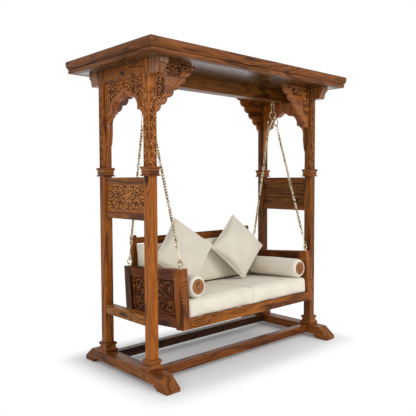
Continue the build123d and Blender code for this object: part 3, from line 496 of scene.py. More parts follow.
# Round the section: the outer face, the end face, then the two plain ones.
at_face = np.full(count, post_half)
along_face = across_face - flat_half
out = np.concatenate([at_face, along_face[::-1], (-post_half, -post_half, -flat_half, flat_half)])
forth = np.concatenate([along_face, at_face, (flat_half, -flat_half, -post_half, -post_half)])
place_on_face = np.concatenate([across_face, across_face[::-1], np.zeros(4)])
cut_out = np.concatenate([np.ones(count), np.zeros(count + 4)])
cut_forth = np.concatenate([np.zeros(count), np.ones(count), np.zeros(4)])
carved_face = (cut_out + cut_forth)[None, :] > 0
rows_z = np.concatenate([
    (post_foot, post_foot + 300, post_foot + 700, vine_bottom - 200, vine_bottom - 2),
    np.arange(vine_bottom, vine_top, grid_step),
    (vine_top, vine_top + 2, vine_top + 3, vine_top + 4, vine_top + 6, vine_top + 90, post_head),
])
for side, sx in sides:
    for end, ey in ends:
        u, z = np.broadcast_arrays(place_on_face[None, :], rows_z[:, None])
        in_band = (u > vine_margin) & (u < face_width - vine_margin) & (z > vine_bottom) & (z < vine_top)
        in_band &= carved_face
        mirrored = u if sx * ey > 0 else face_width - u
        level = np.where(in_band, np.clip(post_vine.at(mirrored, z), 0, 1), 1.0)
        chisel_line = (np.abs(z - vine_top - 3) < 1.2) & carved_face
        depth = np.where(chisel_line, chisel_depth, ground_depth * (1 - level))
        x = sx * (post_x + out[None, :] - depth * cut_out)
        y = ey * (post_y + forth[None, :] - depth * cut_forth)
        points = np.stack([x, y, z], -1).reshape(-1, 3)
        faces = grid_faces(len(rows_z), len(out), closed=True)
        faces.append(list(range(len(out))))
        faces.append(list(range(len(points) - len(out), len(points))))
        make_piece(
            f"carved_post_{end}_{side}", "frame", post_wood[(end, side)], points, faces,
            (f"post_{end}_{side}",), level,
        )


# ---------------------------------------------------------------- post mouldings
# Square mouldings mitred round each post: a plinth and bead on the skid, and a coved collar at mid height.
# They are cut from redder boards and polished more, and their profiles carry a painted highlight and painted
# shade along the grooves.
polish_and_highlight = {"streaks": 0.4, "lustre": 0.22, "carved": True, "wear_and_highlight": "B87A40", "wear_and_highlight_share": 0.4}
moulding_woods = (
    (True, sheesham("polished_sheesham_moulding_x", "9E5A22", "723C16", "351608", grain_x, 4.4, **polish_and_highlight)),
    (False, sheesham("polished_sheesham_moulding_y", "985821", "6C3814", "321408", grain_y, 4.9, **polish_and_highlight)),
)


def joined(parts):
    """Several (points, faces) as one."""
    points, faces, start = [], [], 0
    for part_points, part_faces in parts:
        points.append(part_points)
        faces += [[index + start for index in face] for face in part_faces]
        start += len(part_points)
    return np.concatenate(points), faces


def mitred_strips(profile, middle, half_x, half_y, along_x, steps=2):
    """Two facing strips of a moulding round a rectangle, mitred at its corners. A profile's points are a way
    out from the rectangle, a height, and 1 or less where painted shade with real wax darkens a groove. Gives
    parts and the last."""
    parts, levels = [], []
    out, up, level = np.array(profile, float).T
    half, reach = (half_x, half_y) if along_x else (half_y, half_x)
    for hand in (-1, 1):
        share = np.linspace(-1, 1, steps)[:, None]
        # The ends follow the mitre, so every point of the profile has its own length.
        along = share * (half + out - mitre_gap)[None, :]
        aside = np.broadcast_to(hand * (reach + out)[None, :], along.shape)
        height = np.broadcast_to(up[None, :], along.shape)
        strip_points = np.stack([along, aside, height] if along_x else [aside, along, height], -1)
        strip_points = strip_points.reshape(-1, 3)
        count = len(profile)
        strip_faces = grid_faces(steps, count, closed=True)
        strip_faces += [list(range(count)), list(range(len(strip_points) - count, len(strip_points)))]
        parts.append((strip_points + np.array(middle, float), strip_faces))
        levels.append(np.tile(level, steps))
    return parts, levels


mitre_gap = 0.2
collar_bottom = 1302
# Third numbers below 1 mark grooves: painted shade with stain darkens the deepest, and a painted highlight
# with wear pales the shallower ones.
base_profile = (
    (0.2, 0.2, 1), (18, 0.2, 1), (18, 19, 1), (17, 22, 1), (13, 24.5, 0.7), (9.5, 28, 0.75), (7.5, 33, 1),
    (6.6, 40, 1), (7, 46, 1), (9, 50, 0.8), (12.6, 53, 0.9), (13.6, 56, 1), (13.4, 61, 1), (11, 65, 1),
    (6, 69, 1), (0.2, 72.8, 1),
)
collar_profile = (
    (0.2, 0.2, 0.6), (11, 0.2, 0.6), (13, 2, 0.66), (13, 7.5, 0.66), (11.5, 9.5, 0.5), (6.6, 10.5, 0.4),
    (6.8, 21, 1), (8.6, 22.5, 1), (8.6, 28.5, 1), (6.8, 30, 0.6), (7.4, 35, 0.9), (10, 42, 1), (13, 47.5, 1),
    (13.8, 51, 1), (13.8, 56.5, 1), (12, 58.8, 1), (0.2, 58.8, 1),
)
for name, profile, bottom, replaced in (
    ("post_base_moulding", base_profile, post_foot, "post_bases"),
    ("post_collar_moulding", collar_profile, collar_bottom, "post_collars"),
):
    for along_x, wood in moulding_woods:
        parts, levels = [], []
        for _, sx in sides:
            for _, ey in ends:
                middle = (sx * post_x, ey * post_y, bottom)
                more_parts, more_levels = mitred_strips(profile, middle, post_half, post_half, along_x)
                parts += more_parts
                levels += more_levels
        points, faces = joined(parts)
        make_piece(
            f"{name}_{'x' if along_x else 'y'}", "frame", wood, points, faces, (replaced,),
            np.concatenate(levels), sharp=32,
        )


# ---------------------------------------------------------------- side frames
# Between the front and the back post run a low rail, two grooved rails for the carved panel, and a top rail.
# They are tenoned into the posts, each from its own board, so their tones differ.
low_rail_wood = sheesham(
    "lacquered_sheesham_low_rail", "B0702C", "7E4918", "3C1C0A", grain_y, 5.2, 0.7, 18,
    knots=(((-834, 12, 397), (30, 62, 17), 0.85),),
)
panel_rail_wood = sheesham("lacquered_sheesham_panel_rail", "94581F", "6E3C14", "3A1B0A", grain_y, 6.1, 0.25)
top_rail_wood = sheesham(
    "lacquered_sheesham_top_rail", "A86426", "764012", "321506", grain_y, 7.5, 0.5, 20,
    knots=(((-836, 0, 1960), (30, 24, 15), 0.85),),
)
dress(low_rail_wood, "side_rail_left", "side_rail_right")
dress(panel_rail_wood, "panel_rails_left", "panel_rails_right")
dress(top_rail_wood, "top_rail_left", "top_rail_right")


# ---------------------------------------------------------------- carved side panels
# A 20 mm board in each side frame, with scrolls of vine cut deep into its outer face and a plain inner face.
# The carving is undercut. Stain and painted shade darken its ground, and wear with a painted highlight pales
# its raised parts, so the leaves stand out light against the ground.
panel_face_x = 814
panel_thickness = 20
panel_half_length = 222
panel_low = 1062
panel_high = 1257
panel_seen = ((-panel_half_length, 1070), (panel_half_length, 1249))
panel_margin = 9
panel_ground = 8


def resample(points, count):
    """Even places along a line of points, with the line's own corners kept."""
    points = np.array(points, float)
    lengths = np.concatenate([[0], np.cumsum(np.linalg.norm(np.diff(points, axis=0), axis=1))])
    places = np.linspace(0, lengths[-1], count)
    for length in lengths:
        places[np.argmin(np.abs(places - length))] = length
    return np.stack([np.interp(places, lengths, points[:, 0]), np.interp(places, lengths, points[:, 1])], 1)


def line_length(points):
    return float(np.linalg.norm(np.diff(np.array(points, float), axis=0), axis=1).sum())


def distance_to(u, v, line):
    """How far places on a face are from a line of points."""
    nearest = np.full(u.shape, 1e9)
    for (au, av), (bu, bv) in zip(line[:-1], line[1:]):
        span = max((bu - au) ** 2 + (bv - av) ** 2, 1e-9)
        share = np.clip(((u - au) * (bu - au) + (v - av) * (bv - av)) / span, 0, 1)
        nearest = np.minimum(nearest, np.hypot(u - au - share * (bu - au), v - av - share * (bv - av)))
    return nearest


def inside_field(u, v, low, high):
    """How far places on a face are inside the nearest edge of a rectangle."""
    return np.minimum(np.minimum(u - low[0], high[0] - u), np.minimum(v - low[1], high[1] - v))


def carved_board(name, body, wood, replaced, outer, inner, place, thickness, cut, step=grid_step, ease=2.5):
    """A board whose face is a grid between two edge lines. cut gives the depth and relief of places on it,
    and place turns them, with a depth behind the face, to points of the frame."""
    columns = int(max(line_length(outer), line_length(inner)) / step) + 1
    first, last = resample(outer, columns), resample(inner, columns)
    rows = int(np.linalg.norm(first - last, axis=1).max() / step) + 2
    share = np.linspace(0, 1, rows)[:, None, None]
    u, v = np.moveaxis(first * (1 - share) + last * share, -1, 0)
    edge = distance_to(u, v, np.concatenate([first, last[::-1], first[:1]]))
    rounded = np.clip(1 - edge / ease, 0, 1)
    depth, level = cut(u, v)
    depth = depth + ease * (1 - np.sqrt(1 - rounded**2 * 0.999))
    front = place(u, v, depth).reshape(-1, 3)
    index = np.arange(rows * columns).reshape(rows, columns)
    rim = np.concatenate([index[0], index[1:, -1], index[-1, -2::-1], index[-2:0:-1, 0]])
    back = place(u.ravel()[rim], v.ravel()[rim], np.full(len(rim), float(thickness)))
    behind = len(front) + np.arange(len(rim))
    faces = grid_faces(rows, columns)
    faces += [[rim[i], rim[i - 1], behind[i - 1], behind[i]] for i in range(len(rim))]
    faces.append(behind.tolist())
    points = np.concatenate([front, back])
    relief = np.concatenate([level.ravel(), np.ones(len(rim))])
    return make_piece(name, body, wood, points, faces, replaced, relief)


panel_vine = Carving(*panel_seen)
panel_mid_z = (panel_seen[0][1] + panel_seen[1][1]) / 2
panel_column = 61
panel_row = 57
for column in range(-3, 4):
    shift = 14 * (column % 2) - 7
    for row in (-1, 0, 1):
        hand = 1 if (column + row) % 2 else -1
        curl_centre = (panel_column * column, panel_mid_z + panel_row * row + shift * (row == 0))
        if (column, row) != (0, 0):
            panel_vine.curl(curl_centre, 25, 1.1 * column + 2.0 * row, hand, 11, 1.12, 2)
    for row in (-0.5, 0.5):
        root = (panel_column * (column + 0.5), panel_mid_z + panel_row * row)
        for angle in (0.7 + column, 0.7 + column + pi):
            panel_vine.leaf(root, angle, 32, 16)
for turn in range(6):
    angle = turn * pi / 3 + pi / 6
    panel_vine.leaf((14 * cos(angle), panel_mid_z + 14 * sin(angle)), angle, 30, 19)
panel_vine.flower((0, panel_mid_z), 22, 6)
panel_vine.fill(22, 8)


def panel_cut(u, v):
    inside = inside_field(u, v, *panel_seen)
    level = panel_vine.relief(u, v, inside - panel_margin)
    bead_line = 1.2 * (np.abs(inside - panel_margin + 3.5) < 1.2)
    return panel_ground * (1 - level) + bead_line, level


def level_edges(low, high):
    """The lower and the upper edge of a rectangular board."""
    return [low, (high[0], low[1])], [(low[0], high[1]), high]


panel_woods = {
    "left": sheesham(
        "carved_sheesham_panel_a", "C4782E", "965519", "48210A", grain_y, 8.3, 0.3, 15, 0.2, 0.3, carved=True
    ),
    "right": sheesham(
        "carved_sheesham_panel_b", "8A5722", "532C0C", "160903", grain_y, 8.9, 0.8, 24, gloss=0.1, carved=True
    ),
}
for side, sx in sides:
    carved_board(
        f"scroll_panel_{side}", "frame", panel_woods[side], (f"carved_panel_{side}",),
        *level_edges((-panel_half_length, panel_low), (panel_half_length, panel_high)),
        lambda u, v, w: np.stack([sx * (panel_face_x - w), u, v], -1), panel_thickness, panel_cut,
    )


# ---------------------------------------------------------------- cusped side arches
# Each side has an arch of two mirrored boards that meet under the top rail with a fine joint.
# Vine fills the corner and runs down by the post, and a plain band follows the cusps.
arch_face_x = 822
arch_thickness = 50
arch_top = 1915
arch_apex = 1845
arch_edge = 222
arch_tail = 1508
joint_gap = 0.4
arch_ground = 7
arch_border = 7
arch_plain_foot = 1570
cusp_band = 24


def arc_points(start, middle, end, count=24):
    """Points on the arc through three points."""
    (ax, ay), (bx, by), (cx, cy) = start, middle, end
    double = 2 * (ax * (by - cy) + bx * (cy - ay) + cx * (ay - by))
    square_a, square_b, square_c = ax**2 + ay**2, bx**2 + by**2, cx**2 + cy**2
    ox = (square_a * (by - cy) + square_b * (cy - ay) + square_c * (ay - by)) / double
    oy = (square_a * (cx - bx) + square_b * (ax - cx) + square_c * (bx - ax)) / double
    first, mid, last = (np.arctan2(y - oy, x - ox) for x, y in (start, middle, end))
    mid = first + (mid - first + pi) % (2 * pi) - pi
    last = mid + (last - mid + pi) % (2 * pi) - pi
    angles = np.linspace(first, last, count)
    radius = sqrt((ax - ox) ** 2 + (ay - oy) ** 2)
    return [(ox + radius * cos(angle), oy + radius * sin(angle)) for angle in angles]


cusp_line = [(joint_gap, arch_apex), (62, 1806)]
cusp_line += arc_points((62, 1806), (126, 1783), (143, 1719))[1:]
cusp_line += arc_points((143, 1719), (191, 1695), (208, 1645))[1:]
cusp_line += arc_points((208, 1645), (210, 1576), (arch_edge, arch_tail))[1:]
arch_outer = [(joint_gap, arch_top), (arch_edge, arch_top), (arch_edge, arch_tail)]

arch_vine = Carving((0, arch_tail), (arch_edge, arch_top))
for index, (curl_u, curl_v, curl_radius) in enumerate((
    (30, 1880, 24), (82, 1884, 23), (80, 1842, 19), (132, 1880, 24), (180, 1884, 22), (128, 1836, 21),
    (178, 1838, 23), (190, 1790, 21), (166, 1752, 16), (196, 1746, 18), (200, 1704, 16), (204, 1668, 12),
    (196, 1632, 12), (210, 1604, 9),
)):
    hand = 1 if index % 2 else -1
    arch_vine.curl((curl_u, curl_v), curl_radius, index * 2.1, hand, 0.36 * curl_radius, 1.1, 3)
stem_z = np.linspace(1585, 1860, 380)
arch_vine.stem(np.stack([196 + 7 * np.sin((stem_z - 1580) / 21), stem_z], 1), 6.5)
arch_vine.fill(19, 11)


def arch_cut(u, v):
    to_cusps = distance_to(u, v, cusp_line)
    to_edges = np.minimum(arch_edge - u, arch_top - v)
    inside = np.minimum(np.minimum(to_cusps - cusp_band, to_edges - arch_border), v - arch_plain_foot)
    level = arch_vine.relief(u, v, inside)
    fillet_line = 1.6 * np.exp(-((inside + 5) / 1.3) ** 2) * (to_cusps < cusp_band + 8)
    return arch_ground * (1 - level) + fillet_line, level


arch_wood = sheesham(
    "carved_sheesham_arch", "B8681E", "8E4C15", "441E08", grain_z, 9.7, 0.4, 15, 0.2, 0.25, carved=True
)
for side, sx in sides:
    for end, ey in ends:
        carved_board(
            f"cusped_arch_{end}_{side}", "frame", arch_wood, (f"arch_{side}",), arch_outer, cusp_line,
            lambda u, v, w: np.stack([sx * (arch_face_x - w), ey * u, v], -1),
            arch_thickness, arch_cut, ease=3,
        )


# ---------------------------------------------------------------- scalloped brackets
# Four triangular brackets under the roof, each with six domed scallops on its slope and a chisel line behind.
# Leaves fill an L along the post and the ceiling, and the middle of the board is left plain.
bracket_face_y = 266
bracket_thickness = 24
bracket_inner = 772
bracket_top = 2005
bracket_tip = (466, 1993)
bracket_toe = (772, 1695)
bracket_strip_end = 444
scallop_count = 6
scallop_bulge = 18
leaf_band = 74
bracket_ground = 7.5
slope_plain = 34
scallop_back = 17

slope = (np.array(bracket_toe) - bracket_tip) / scallop_count
slope_out = np.array((slope[1], -slope[0])) / np.linalg.norm(slope)
scallop_line = [(bracket_strip_end, bracket_tip[1]), bracket_tip]
for index in range(scallop_count):
    start = np.array(bracket_tip) + slope * index
    scallop_line += arc_points(start, start + slope / 2 + slope_out * scallop_bulge, start + slope, 14)[1:]
bracket_outer = [(bracket_strip_end, bracket_top), (bracket_inner, bracket_top), bracket_toe]

bracket_vine = Carving((bracket_strip_end, bracket_toe[1]), (bracket_inner, bracket_top))
corner_u, corner_v = bracket_inner, bracket_top
bracket_vine.flower((corner_u - 46, corner_v - 46), 31, 5)
for along in range(3):
    radius = 27 - 3 * along
    far, near = 108 + 60 * along, 38 - 5 * along
    hand = 1 - 2 * (along % 2)
    bracket_vine.curl((corner_u - far, corner_v - near), radius, along * 1.9, hand, 10, 1.1, 3)
    bracket_vine.curl((corner_u - near, corner_v - far), radius, pi / 2 - along * 1.9, -hand, 10, 1.1, 3)
for turn in range(5):
    angle = pi + turn * pi / 8
    bracket_vine.leaf((corner_u - 46 + 22 * cos(angle), corner_v - 46 + 22 * sin(angle)), angle, 40, 19)
bracket_vine.fill(24, 14)


def bracket_cut(u, v):
    behind_slope = (bracket_tip[0] - u) * slope_out[0] + (bracket_tip[1] - v) * slope_out[1]
    to_legs = np.minimum(bracket_inner - u, bracket_top - v)
    wavy = 5 * np.cos((u + v) * 0.16)
    inside = np.minimum(np.minimum(to_legs - 5, leaf_band + wavy - to_legs), behind_slope - slope_plain)
    level = bracket_vine.relief(u, v, inside)
    chisel = 4 * np.exp(-((behind_slope - scallop_back) / 2.6) ** 2)
    to_scallops = distance_to(u, v, scallop_line[1:])
    dome = 6 * np.clip(1 - to_scallops / 13, 0, 1) ** 2 * (behind_slope < scallop_back)
    # A cut runs in from each notch between two scallops.
    along_slope = ((u - bracket_tip[0]) * slope[0] + (v - bracket_tip[1]) * slope[1]) / (slope @ slope)
    to_notch = np.abs(along_slope - np.round(along_slope)) * np.linalg.norm(slope)
    notch = 3 * np.exp(-((to_notch / 3) ** 2)) * np.clip((14 - behind_slope) / 6, 0, 1)
    # Painted shade: the relief is darkened along the chisel line behind the scallops and in each notch.
    dark = np.exp(-(((behind_slope - scallop_back) / 2.4) ** 2))
    depth = bracket_ground * (1 - level) + chisel + dome + notch
    return depth, level * (1 - 0.85 * dark) * (1 - 0.12 * notch)


bracket_wood = sheesham(
    "carved_sheesham_bracket", "AE6426", "82471A", "3E1D0A", grain_x, 10.9, 0.35, 15, 0.2, 0.25, carved=True
)
for side, sx in sides:
    for end, ey in ends:
        carved_board(
            f"scalloped_bracket_{end}_{side}", "frame", bracket_wood, (f"bracket_{end}_{side}",),
            bracket_outer, scallop_line, lambda u, v, w: np.stack([sx * u, ey * (bracket_face_y - w), v], -1),
            bracket_thickness, bracket_cut,
        )


# ---------------------------------------------------------------- wood screws
# Two zinc-bright steel screws hold each end of every arch and bracket to its post, driven at a slant from
# inside. Their countersunk heads are drawn down level with the wood.
smear_size = 2.5
bright_zinc, tree = new_material("zinc_bright_steel")
spot = add_node(tree, "TexCoord").outputs["Object"]
smears = add_node(tree, "TexNoise", {"Vector": spot, "Scale": 1000 / smear_size, "Detail": 2.0})
zinc_tone = add_node(tree, "ValToRGB", {0: smears}, stops=((0.35, colour("B5B2A8")), (0.7, colour("E6E3DA"))))
shader = add_node(tree, "BsdfPrincipled", {"Base Color": zinc_tone, "Roughness": 0.32, "Metallic": 1.0})
add_node(tree, "OutputMaterial", {"Surface": shader})


def tube(points, radius, closed=False, around=12):
    """A round bar along points. The radius is one value or one for each point. Gives points and faces."""
    points = np.array(points, float)
    count = len(points)
    radii = np.broadcast_to(np.asarray(radius, float), (count,))
    if closed:
        tangents = np.roll(points, -1, 0) - np.roll(points, 1, 0)
    else:
        tangents = np.gradient(points, axis=0)
    tangents /= np.linalg.norm(tangents, axis=1)[:, None]
    across = np.cross(tangents[0], (0.31, 0.52, 0.79))
    rings = []
    for point, tangent, thick in zip(points, tangents, radii):
        across = across - tangent * (across @ tangent)
        across /= np.linalg.norm(across)
        other = np.cross(tangent, across)
        angles = np.arange(around) * 2 * pi / around
        rings.append(point + thick * (np.cos(angles)[:, None] * across + np.sin(angles)[:, None] * other))
    rings = np.array(rings)
    faces = grid_faces(count, around, closed=True)
    if closed:
        # The first ring is matched to the last, which transport may have turned.
        shift = int(np.argmin(np.linalg.norm(rings[-1] - rings[0][0], axis=1)))
        last = (count - 1) * around
        for index in range(around):
            after = (index + 1) % around
            faces.append([last + (index + shift) % around, last + (after + shift) % around, after, index])
    else:
        faces.append(list(range(around)))
        faces.append(list(range((count - 1) * around, count * around)))
    return rings.reshape(-1, 3), faces


screw_parts = []
for side, sx in sides:
    for end, ey in ends:
        starts = [((sx * 772, ey * 205, z), (sx * 0.64, ey * 0.77, 0), (-sx, 0, 0)) for z in (1812, 1890)]
        starts += [((sx * 756, ey * 242, z), (sx * 0.77, ey * 0.64, 0), (0, -ey, 0)) for z in (1790, 1975)]
        for start, slant, face in starts:
            # The head lies flat on the board's face, and the shank runs on at its slant.
            head = [np.array(start) + np.array(face) * out for out in (0.9, 0.8, 0.3, -2.5)]
            screw_parts.append(tube(head, (2.6, 4.6, 5.0, 2.2), around=20))
            shank = [np.array(start) + np.array(slant) * along for along in (2, 40, 44)]
            screw_parts.append(tube(shank, (2, 2, 0.6), around=10))


def join_piece(name, body, material, parts, replaced, relief=None):
    """One piece of several bars, all of it plain unless a relief is given."""
    points, faces = joined(parts)
    relief = np.ones(len(points)) if relief is None else np.concatenate(relief)
    make_piece(name, body, material, points, faces, (replaced,), relief)


join_piece("countersunk_screws", "frame", bright_zinc, screw_parts, "wood_screws")


# ---------------------------------------------------------------- corbels and beam
# Moulded stubs stick out in front of and behind the posts under the eaves, each from one short block.
# The beam that carries the seat runs from side frame to side frame, in darker wood, under the ceiling.
corbel_wood = sheesham(
    "polished_sheesham_corbel", "A66A3C", "784620", "3A1D0D", grain_z, 12.1, 0.3, lustre=0.2, gloss=0.4
)
beam_wood = sheesham("lacquered_sheesham_beam", "945A22", "663A14", "2A1408", grain_x, 13.6, 0.6)
dress(corbel_wood, "corbels")
dress(beam_wood, "main_beam")


# ---------------------------------------------------------------- roof
# A flat roof: an ogee cornice mitred at the corners, with a thin ceiling panel below and boards above.
# The cornice is redder and rubbed to a soft shine, and the ceiling is dark and glossy.
cornice_woods = {
    "long": sheesham(
        "polished_sheesham_cornice_long", "905424", "683A16", "2E1507", grain_x, 14.2, 0.65, 18,
        carved=True, wear_and_highlight_share=0,
    ),
    "short": sheesham(
        "polished_sheesham_cornice_short", "884E20", "603412", "281206", grain_y, 15.8, 0.7, 18,
        carved=True, wear_and_highlight_share=0,
    ),
}
ceiling_wood = sheesham(
    "glossy_sheesham_ceiling", "60421F", "432912", "1C1006", grain_x, 16.4, lustre=0.13, gloss=1.0
)
boards_wood = sheesham("planed_sheesham_boards", "8A5A2C", "6B4320", "3B220F", grain_x, 17.7, 0.4, lustre=0.4)
dress(ceiling_wood, "ceiling_panel")
dress(boards_wood, "roof_boards", "roof_battens")

roof_half_width = 969
roof_half_depth = 486.5
roof_underside = 2005
# A rounded bead, a groove, a small step, a slope and a tall fascia with an eased top.
# The third number of each point darkens the grooves with painted shade and stain.
cornice_profile = (
    (-62, 0, 1), (-24, 0, 1), (-17, 1.2, 1), (-13.5, 5, 1), (-12, 11, 1), (-12.4, 19, 1), (-15, 24, 0.7),
    (-16, 26.5, 0.25), (-15, 28.2, 0.35), (-9.6, 29, 1), (-8.6, 31.5, 1), (-9, 35.5, 0.8), (-9.6, 37, 0.2),
    (-7, 39, 0.75), (-3.4, 43.5, 1), (-1.2, 51, 1), (-0.2, 60, 1), (-0.3, 72, 1), (-1, 78, 1), (-4, 82.6, 1),
    (-7, 84, 1), (-62, 84, 1),
)
for run, wood in cornice_woods.items():
    parts, levels = mitred_strips(
        cornice_profile, (0, 0, roof_underside), roof_half_width, roof_half_depth, run == "long", steps=61
    )
    points, faces = joined(parts)
    make_piece(
        f"moulded_cornice_{run}", "frame", wood, points, faces, (f"cornice_{run}",),
        np.concatenate(levels), sharp=40,
    )


# ---------------------------------------------------------------- arms
# Each arm is a small panelled frame, tilted back with the seat. The stiles run through to the top,
# the front one has a strip of leaf and bead, and big C-scrolls face each other on the panel.
seat_tilt = radians(4.23)
seat_corner = np.array((0, -400, 338.4))
seat_back = np.array((0, cos(seat_tilt), -sin(seat_tilt)))
seat_up = np.array((0, sin(seat_tilt), cos(seat_tilt)))
arm_outer_x = 669
arm_thickness = 60
arm_height = 383
stile_width = 70
seat_depth = 623
strip_field = ((5, 148), (35, 314))
strip_ground = 4.5
cap_line = 321


def on_seat(x, depth, height):
    """Points of the frame from the seat's own axes: x, the way back, and the way up."""
    x, depth, height = (np.asarray(value, float)[..., None] for value in (x, depth, height))
    return seat_corner + x * np.array((1, 0, 0)) + depth * seat_back + height * seat_up


seat_grain_y = (radians(90) + seat_tilt, 0, 0)
seat_grain_z = (seat_tilt, 0, 0)
strip = Carving(*strip_field)
strip_middle = (strip_field[0][0] + strip_field[1][0]) / 2
for count in range(7):
    bud_v = strip_field[0][1] + 12 + 23.5 * count
    strip.bead((strip_middle, bud_v), 6.5, 0.97)
    for hand in (-1, 1):
        strip.leaf((strip_middle + hand * 2, bud_v + 4), pi / 2 - hand * 0.75, 22, 12)


def strip_cut(u, v):
    level = strip.relief(u, v, inside_field(u, v, *strip_field), 1.2)
    # A chisel line sets off the cap of the stile, and painted shade darkens it.
    line = np.exp(-((v - cap_line) / 1.8) ** 2)
    return strip_ground * (1 - level) + 2.2 * line, level * (1 - 0.8 * line)


def plain_cut(u, v):
    return np.zeros(u.shape), np.ones(u.shape)


stile_wood = sheesham(
    "carved_sheesham_arm_stile", "A45C1E", "763E13", "351506", seat_grain_z, 18.9, 0.55, 15,
    gloss=0.2, carved=True,
)
back_stile_wood = sheesham(
    "lacquered_sheesham_arm_stile", "6C4019", "44250B", "1A0C05", seat_grain_z, 19.5, 0.8, 14, carved=True
)
arm_rail_wood = sheesham(
    "lacquered_sheesham_arm_rail", "8C481A", "582A0E", "200F07", seat_grain_y, 20.3, 0.8, 15
)
for side, sx in sides:
    for stile, depth_at, direction, cut, wood in (
        ("front", 0, 1, strip_cut, stile_wood), ("back", seat_depth, -1, plain_cut, back_stile_wood),
    ):
        carved_board(
            f"arm_stile_{stile}_{side}", "swing", wood, (f"arm_stiles_{side}",),
            *level_edges((0, 0), (arm_thickness, arm_height)),
            lambda u, v, w: on_seat(sx * (arm_outer_x - u), depth_at + direction * w, v),
            stile_width, cut, step=1.8 if stile == "front" else 12, ease=4,
        )
dress(arm_rail_wood, "arm_rails_left", "arm_rails_right")

arm_panel_x = 651
arm_panel_thickness = 24
arm_panel_seen = ((stile_width, 84), (seat_depth - stile_width, 320))
arm_panel_margin = 11
arm_ground = 9
tongue = 8
arm_vine = Carving(*arm_panel_seen)
arm_mid = (seat_depth / 2, (arm_panel_seen[0][1] + arm_panel_seen[1][1]) / 2)
for hand in (-1, 1):
    opening = pi if hand > 0 else 0
    for row in (-1, 1):
        lobe = (arm_mid[0] + hand * 168, arm_mid[1] + row * 52)
        arm_vine.curl(lobe, 46, opening - hand * row * 0.5, -hand * row, 15, 0.95, 0)
        arm_vine.flower(lobe, 19, 5)
        scroll = (arm_mid[0] + hand * 84, arm_mid[1] + row * 62)
        arm_vine.curl(scroll, 36, opening + row * 1.1, hand * row, 13, 1.1, 3)
        angle = pi / 2 * (2 - row) - hand * row * 0.7
        arm_vine.leaf((arm_mid[0] + hand * 26, arm_mid[1] + row * 26), angle, 56, 28)
    arm_vine.leaf((arm_mid[0] + hand * 150, arm_mid[1]), opening, 54, 24)
    arm_vine.leaf((arm_mid[0] + hand * 30, arm_mid[1]), pi - opening, 60, 30)
for row in (-1, 1):
    arm_vine.leaf((arm_mid[0], arm_mid[1] + row * 28), row * pi / 2, 72, 36)
arm_vine.flower(arm_mid, 35, 6)
arm_vine.fill(30, 31)


def arm_panel_cut(u, v):
    level = arm_vine.relief(u, v, inside_field(u, v, *arm_panel_seen) - arm_panel_margin)
    return arm_ground * (1 - level), level


arm_panel_wood = sheesham(
    "carved_sheesham_arm_panel", "924E16", "5C2C0A", "200C03", seat_grain_y, 21.4, 0.7, 13, 0.18, 0.2,
    carved=True, wear_and_highlight="AA682C", wear_and_highlight_share=0.45,
)
(seen_front, seen_low), (seen_back, seen_high) = arm_panel_seen
for side, sx in sides:
    carved_board(
        f"scroll_arm_panel_{side}", "swing", arm_panel_wood, (f"arm_panel_{side}",),
        *level_edges((seen_front - tongue, seen_low - tongue), (seen_back + tongue, seen_high + tongue)),
        lambda u, v, w: on_seat(sx * (arm_panel_x - w), u, v), arm_panel_thickness, arm_panel_cut, step=2.1,
    )


# ---------------------------------------------------------------- seat frame and back frame
# A front and a back rail with ledges carry the slats, and the back is a low frame of stiles, rails and slats.
# The front rail is a lively board, the back is in darker, straighter wood.
seat_rail_wood = sheesham(
    "lacquered_sheesham_seat_rail", "A66423", "7A4214", "3A1A08", grain_x, 22.8, 0.4, 8,
    knots=(((-530, -400, 370), (60, 30, 17), 0.25), ((-400, -400, 392), (34, 30, 9), 0.5)),
)
slat_wood = sheesham(
    "planed_sheesham_slats", "98602C", "6E421C", "38200E", seat_grain_y, 23.2, 0.3, lustre=0.4
)
back_rail_wood = sheesham("lacquered_sheesham_back_rail", "985820", "6A3B14", "2E1607", grain_x, 24.9, 0.5)
back_stile_finish = sheesham(
    "lacquered_sheesham_back_stile", "A8642A", "7A461A", "3A1C09", seat_grain_z, 25.1, 0.3
)
dress(seat_rail_wood, "seat_rail_front", "seat_rail_back")
dress(slat_wood, "seat_slats", "back_slats")
dress(back_rail_wood, "back_rails")
dress(back_stile_finish, "back_stiles")


# ---------------------------------------------------------------- eyes, hangers and double hooks
# Forged antique brass. A screw eye in the beam carries a hanger link, and on it hangs a double hook: one bar
# bent to a loop above, whose ends cross and open into a hook for the front chain and one for the back.
patina_size = 13.333
hammer_size = 3.85
antique_brass, tree = new_material("antique_brass_forged")
spot = add_node(tree, "TexCoord").outputs["Object"]
patches = {"Vector": spot, "Scale": 1000 / patina_size, "Detail": 4.0, "Roughness": 0.6}
patina = add_node(tree, "TexNoise", patches)
level = add_node(tree, "Attribute", attribute_name="relief").outputs["Fac"]
clean = add_node(tree, "MapRange", {0: patina, 1: 0.36, 2: 0.56, 3: 0.25, 4: 1.0})
bright = add_node(tree, "Math", {0: clean, 1: level}, operation="MULTIPLY")
# Tarnish leaves the hollows brown-black, and handling keeps the high parts a pale gold.
brass_stops = ((0.06, colour("17110A")), (0.42, colour("826A3E")), (0.9, colour("E8DCBC")))
brass_tone = add_node(tree, "ValToRGB", {0: bright}, stops=brass_stops)
hammered = add_node(tree, "TexNoise", {"Vector": spot, "Scale": 1000 / hammer_size, "Detail": 2.0})
brass_bump = add_node(tree, "Bump", {"Height": hammered, "Strength": 0.35, "Distance": 0.0006})
brass_rough = add_node(tree, "MapRange", {0: bright, 1: 0.0, 2: 1.0, 3: 0.55, 4: 0.28})
brass_surface = {"Base Color": brass_tone, "Roughness": brass_rough, "Metallic": 1.0, "Normal": brass_bump}
shader = add_node(tree, "BsdfPrincipled", brass_surface)
add_node(tree, "OutputMaterial", {"Surface": shader})


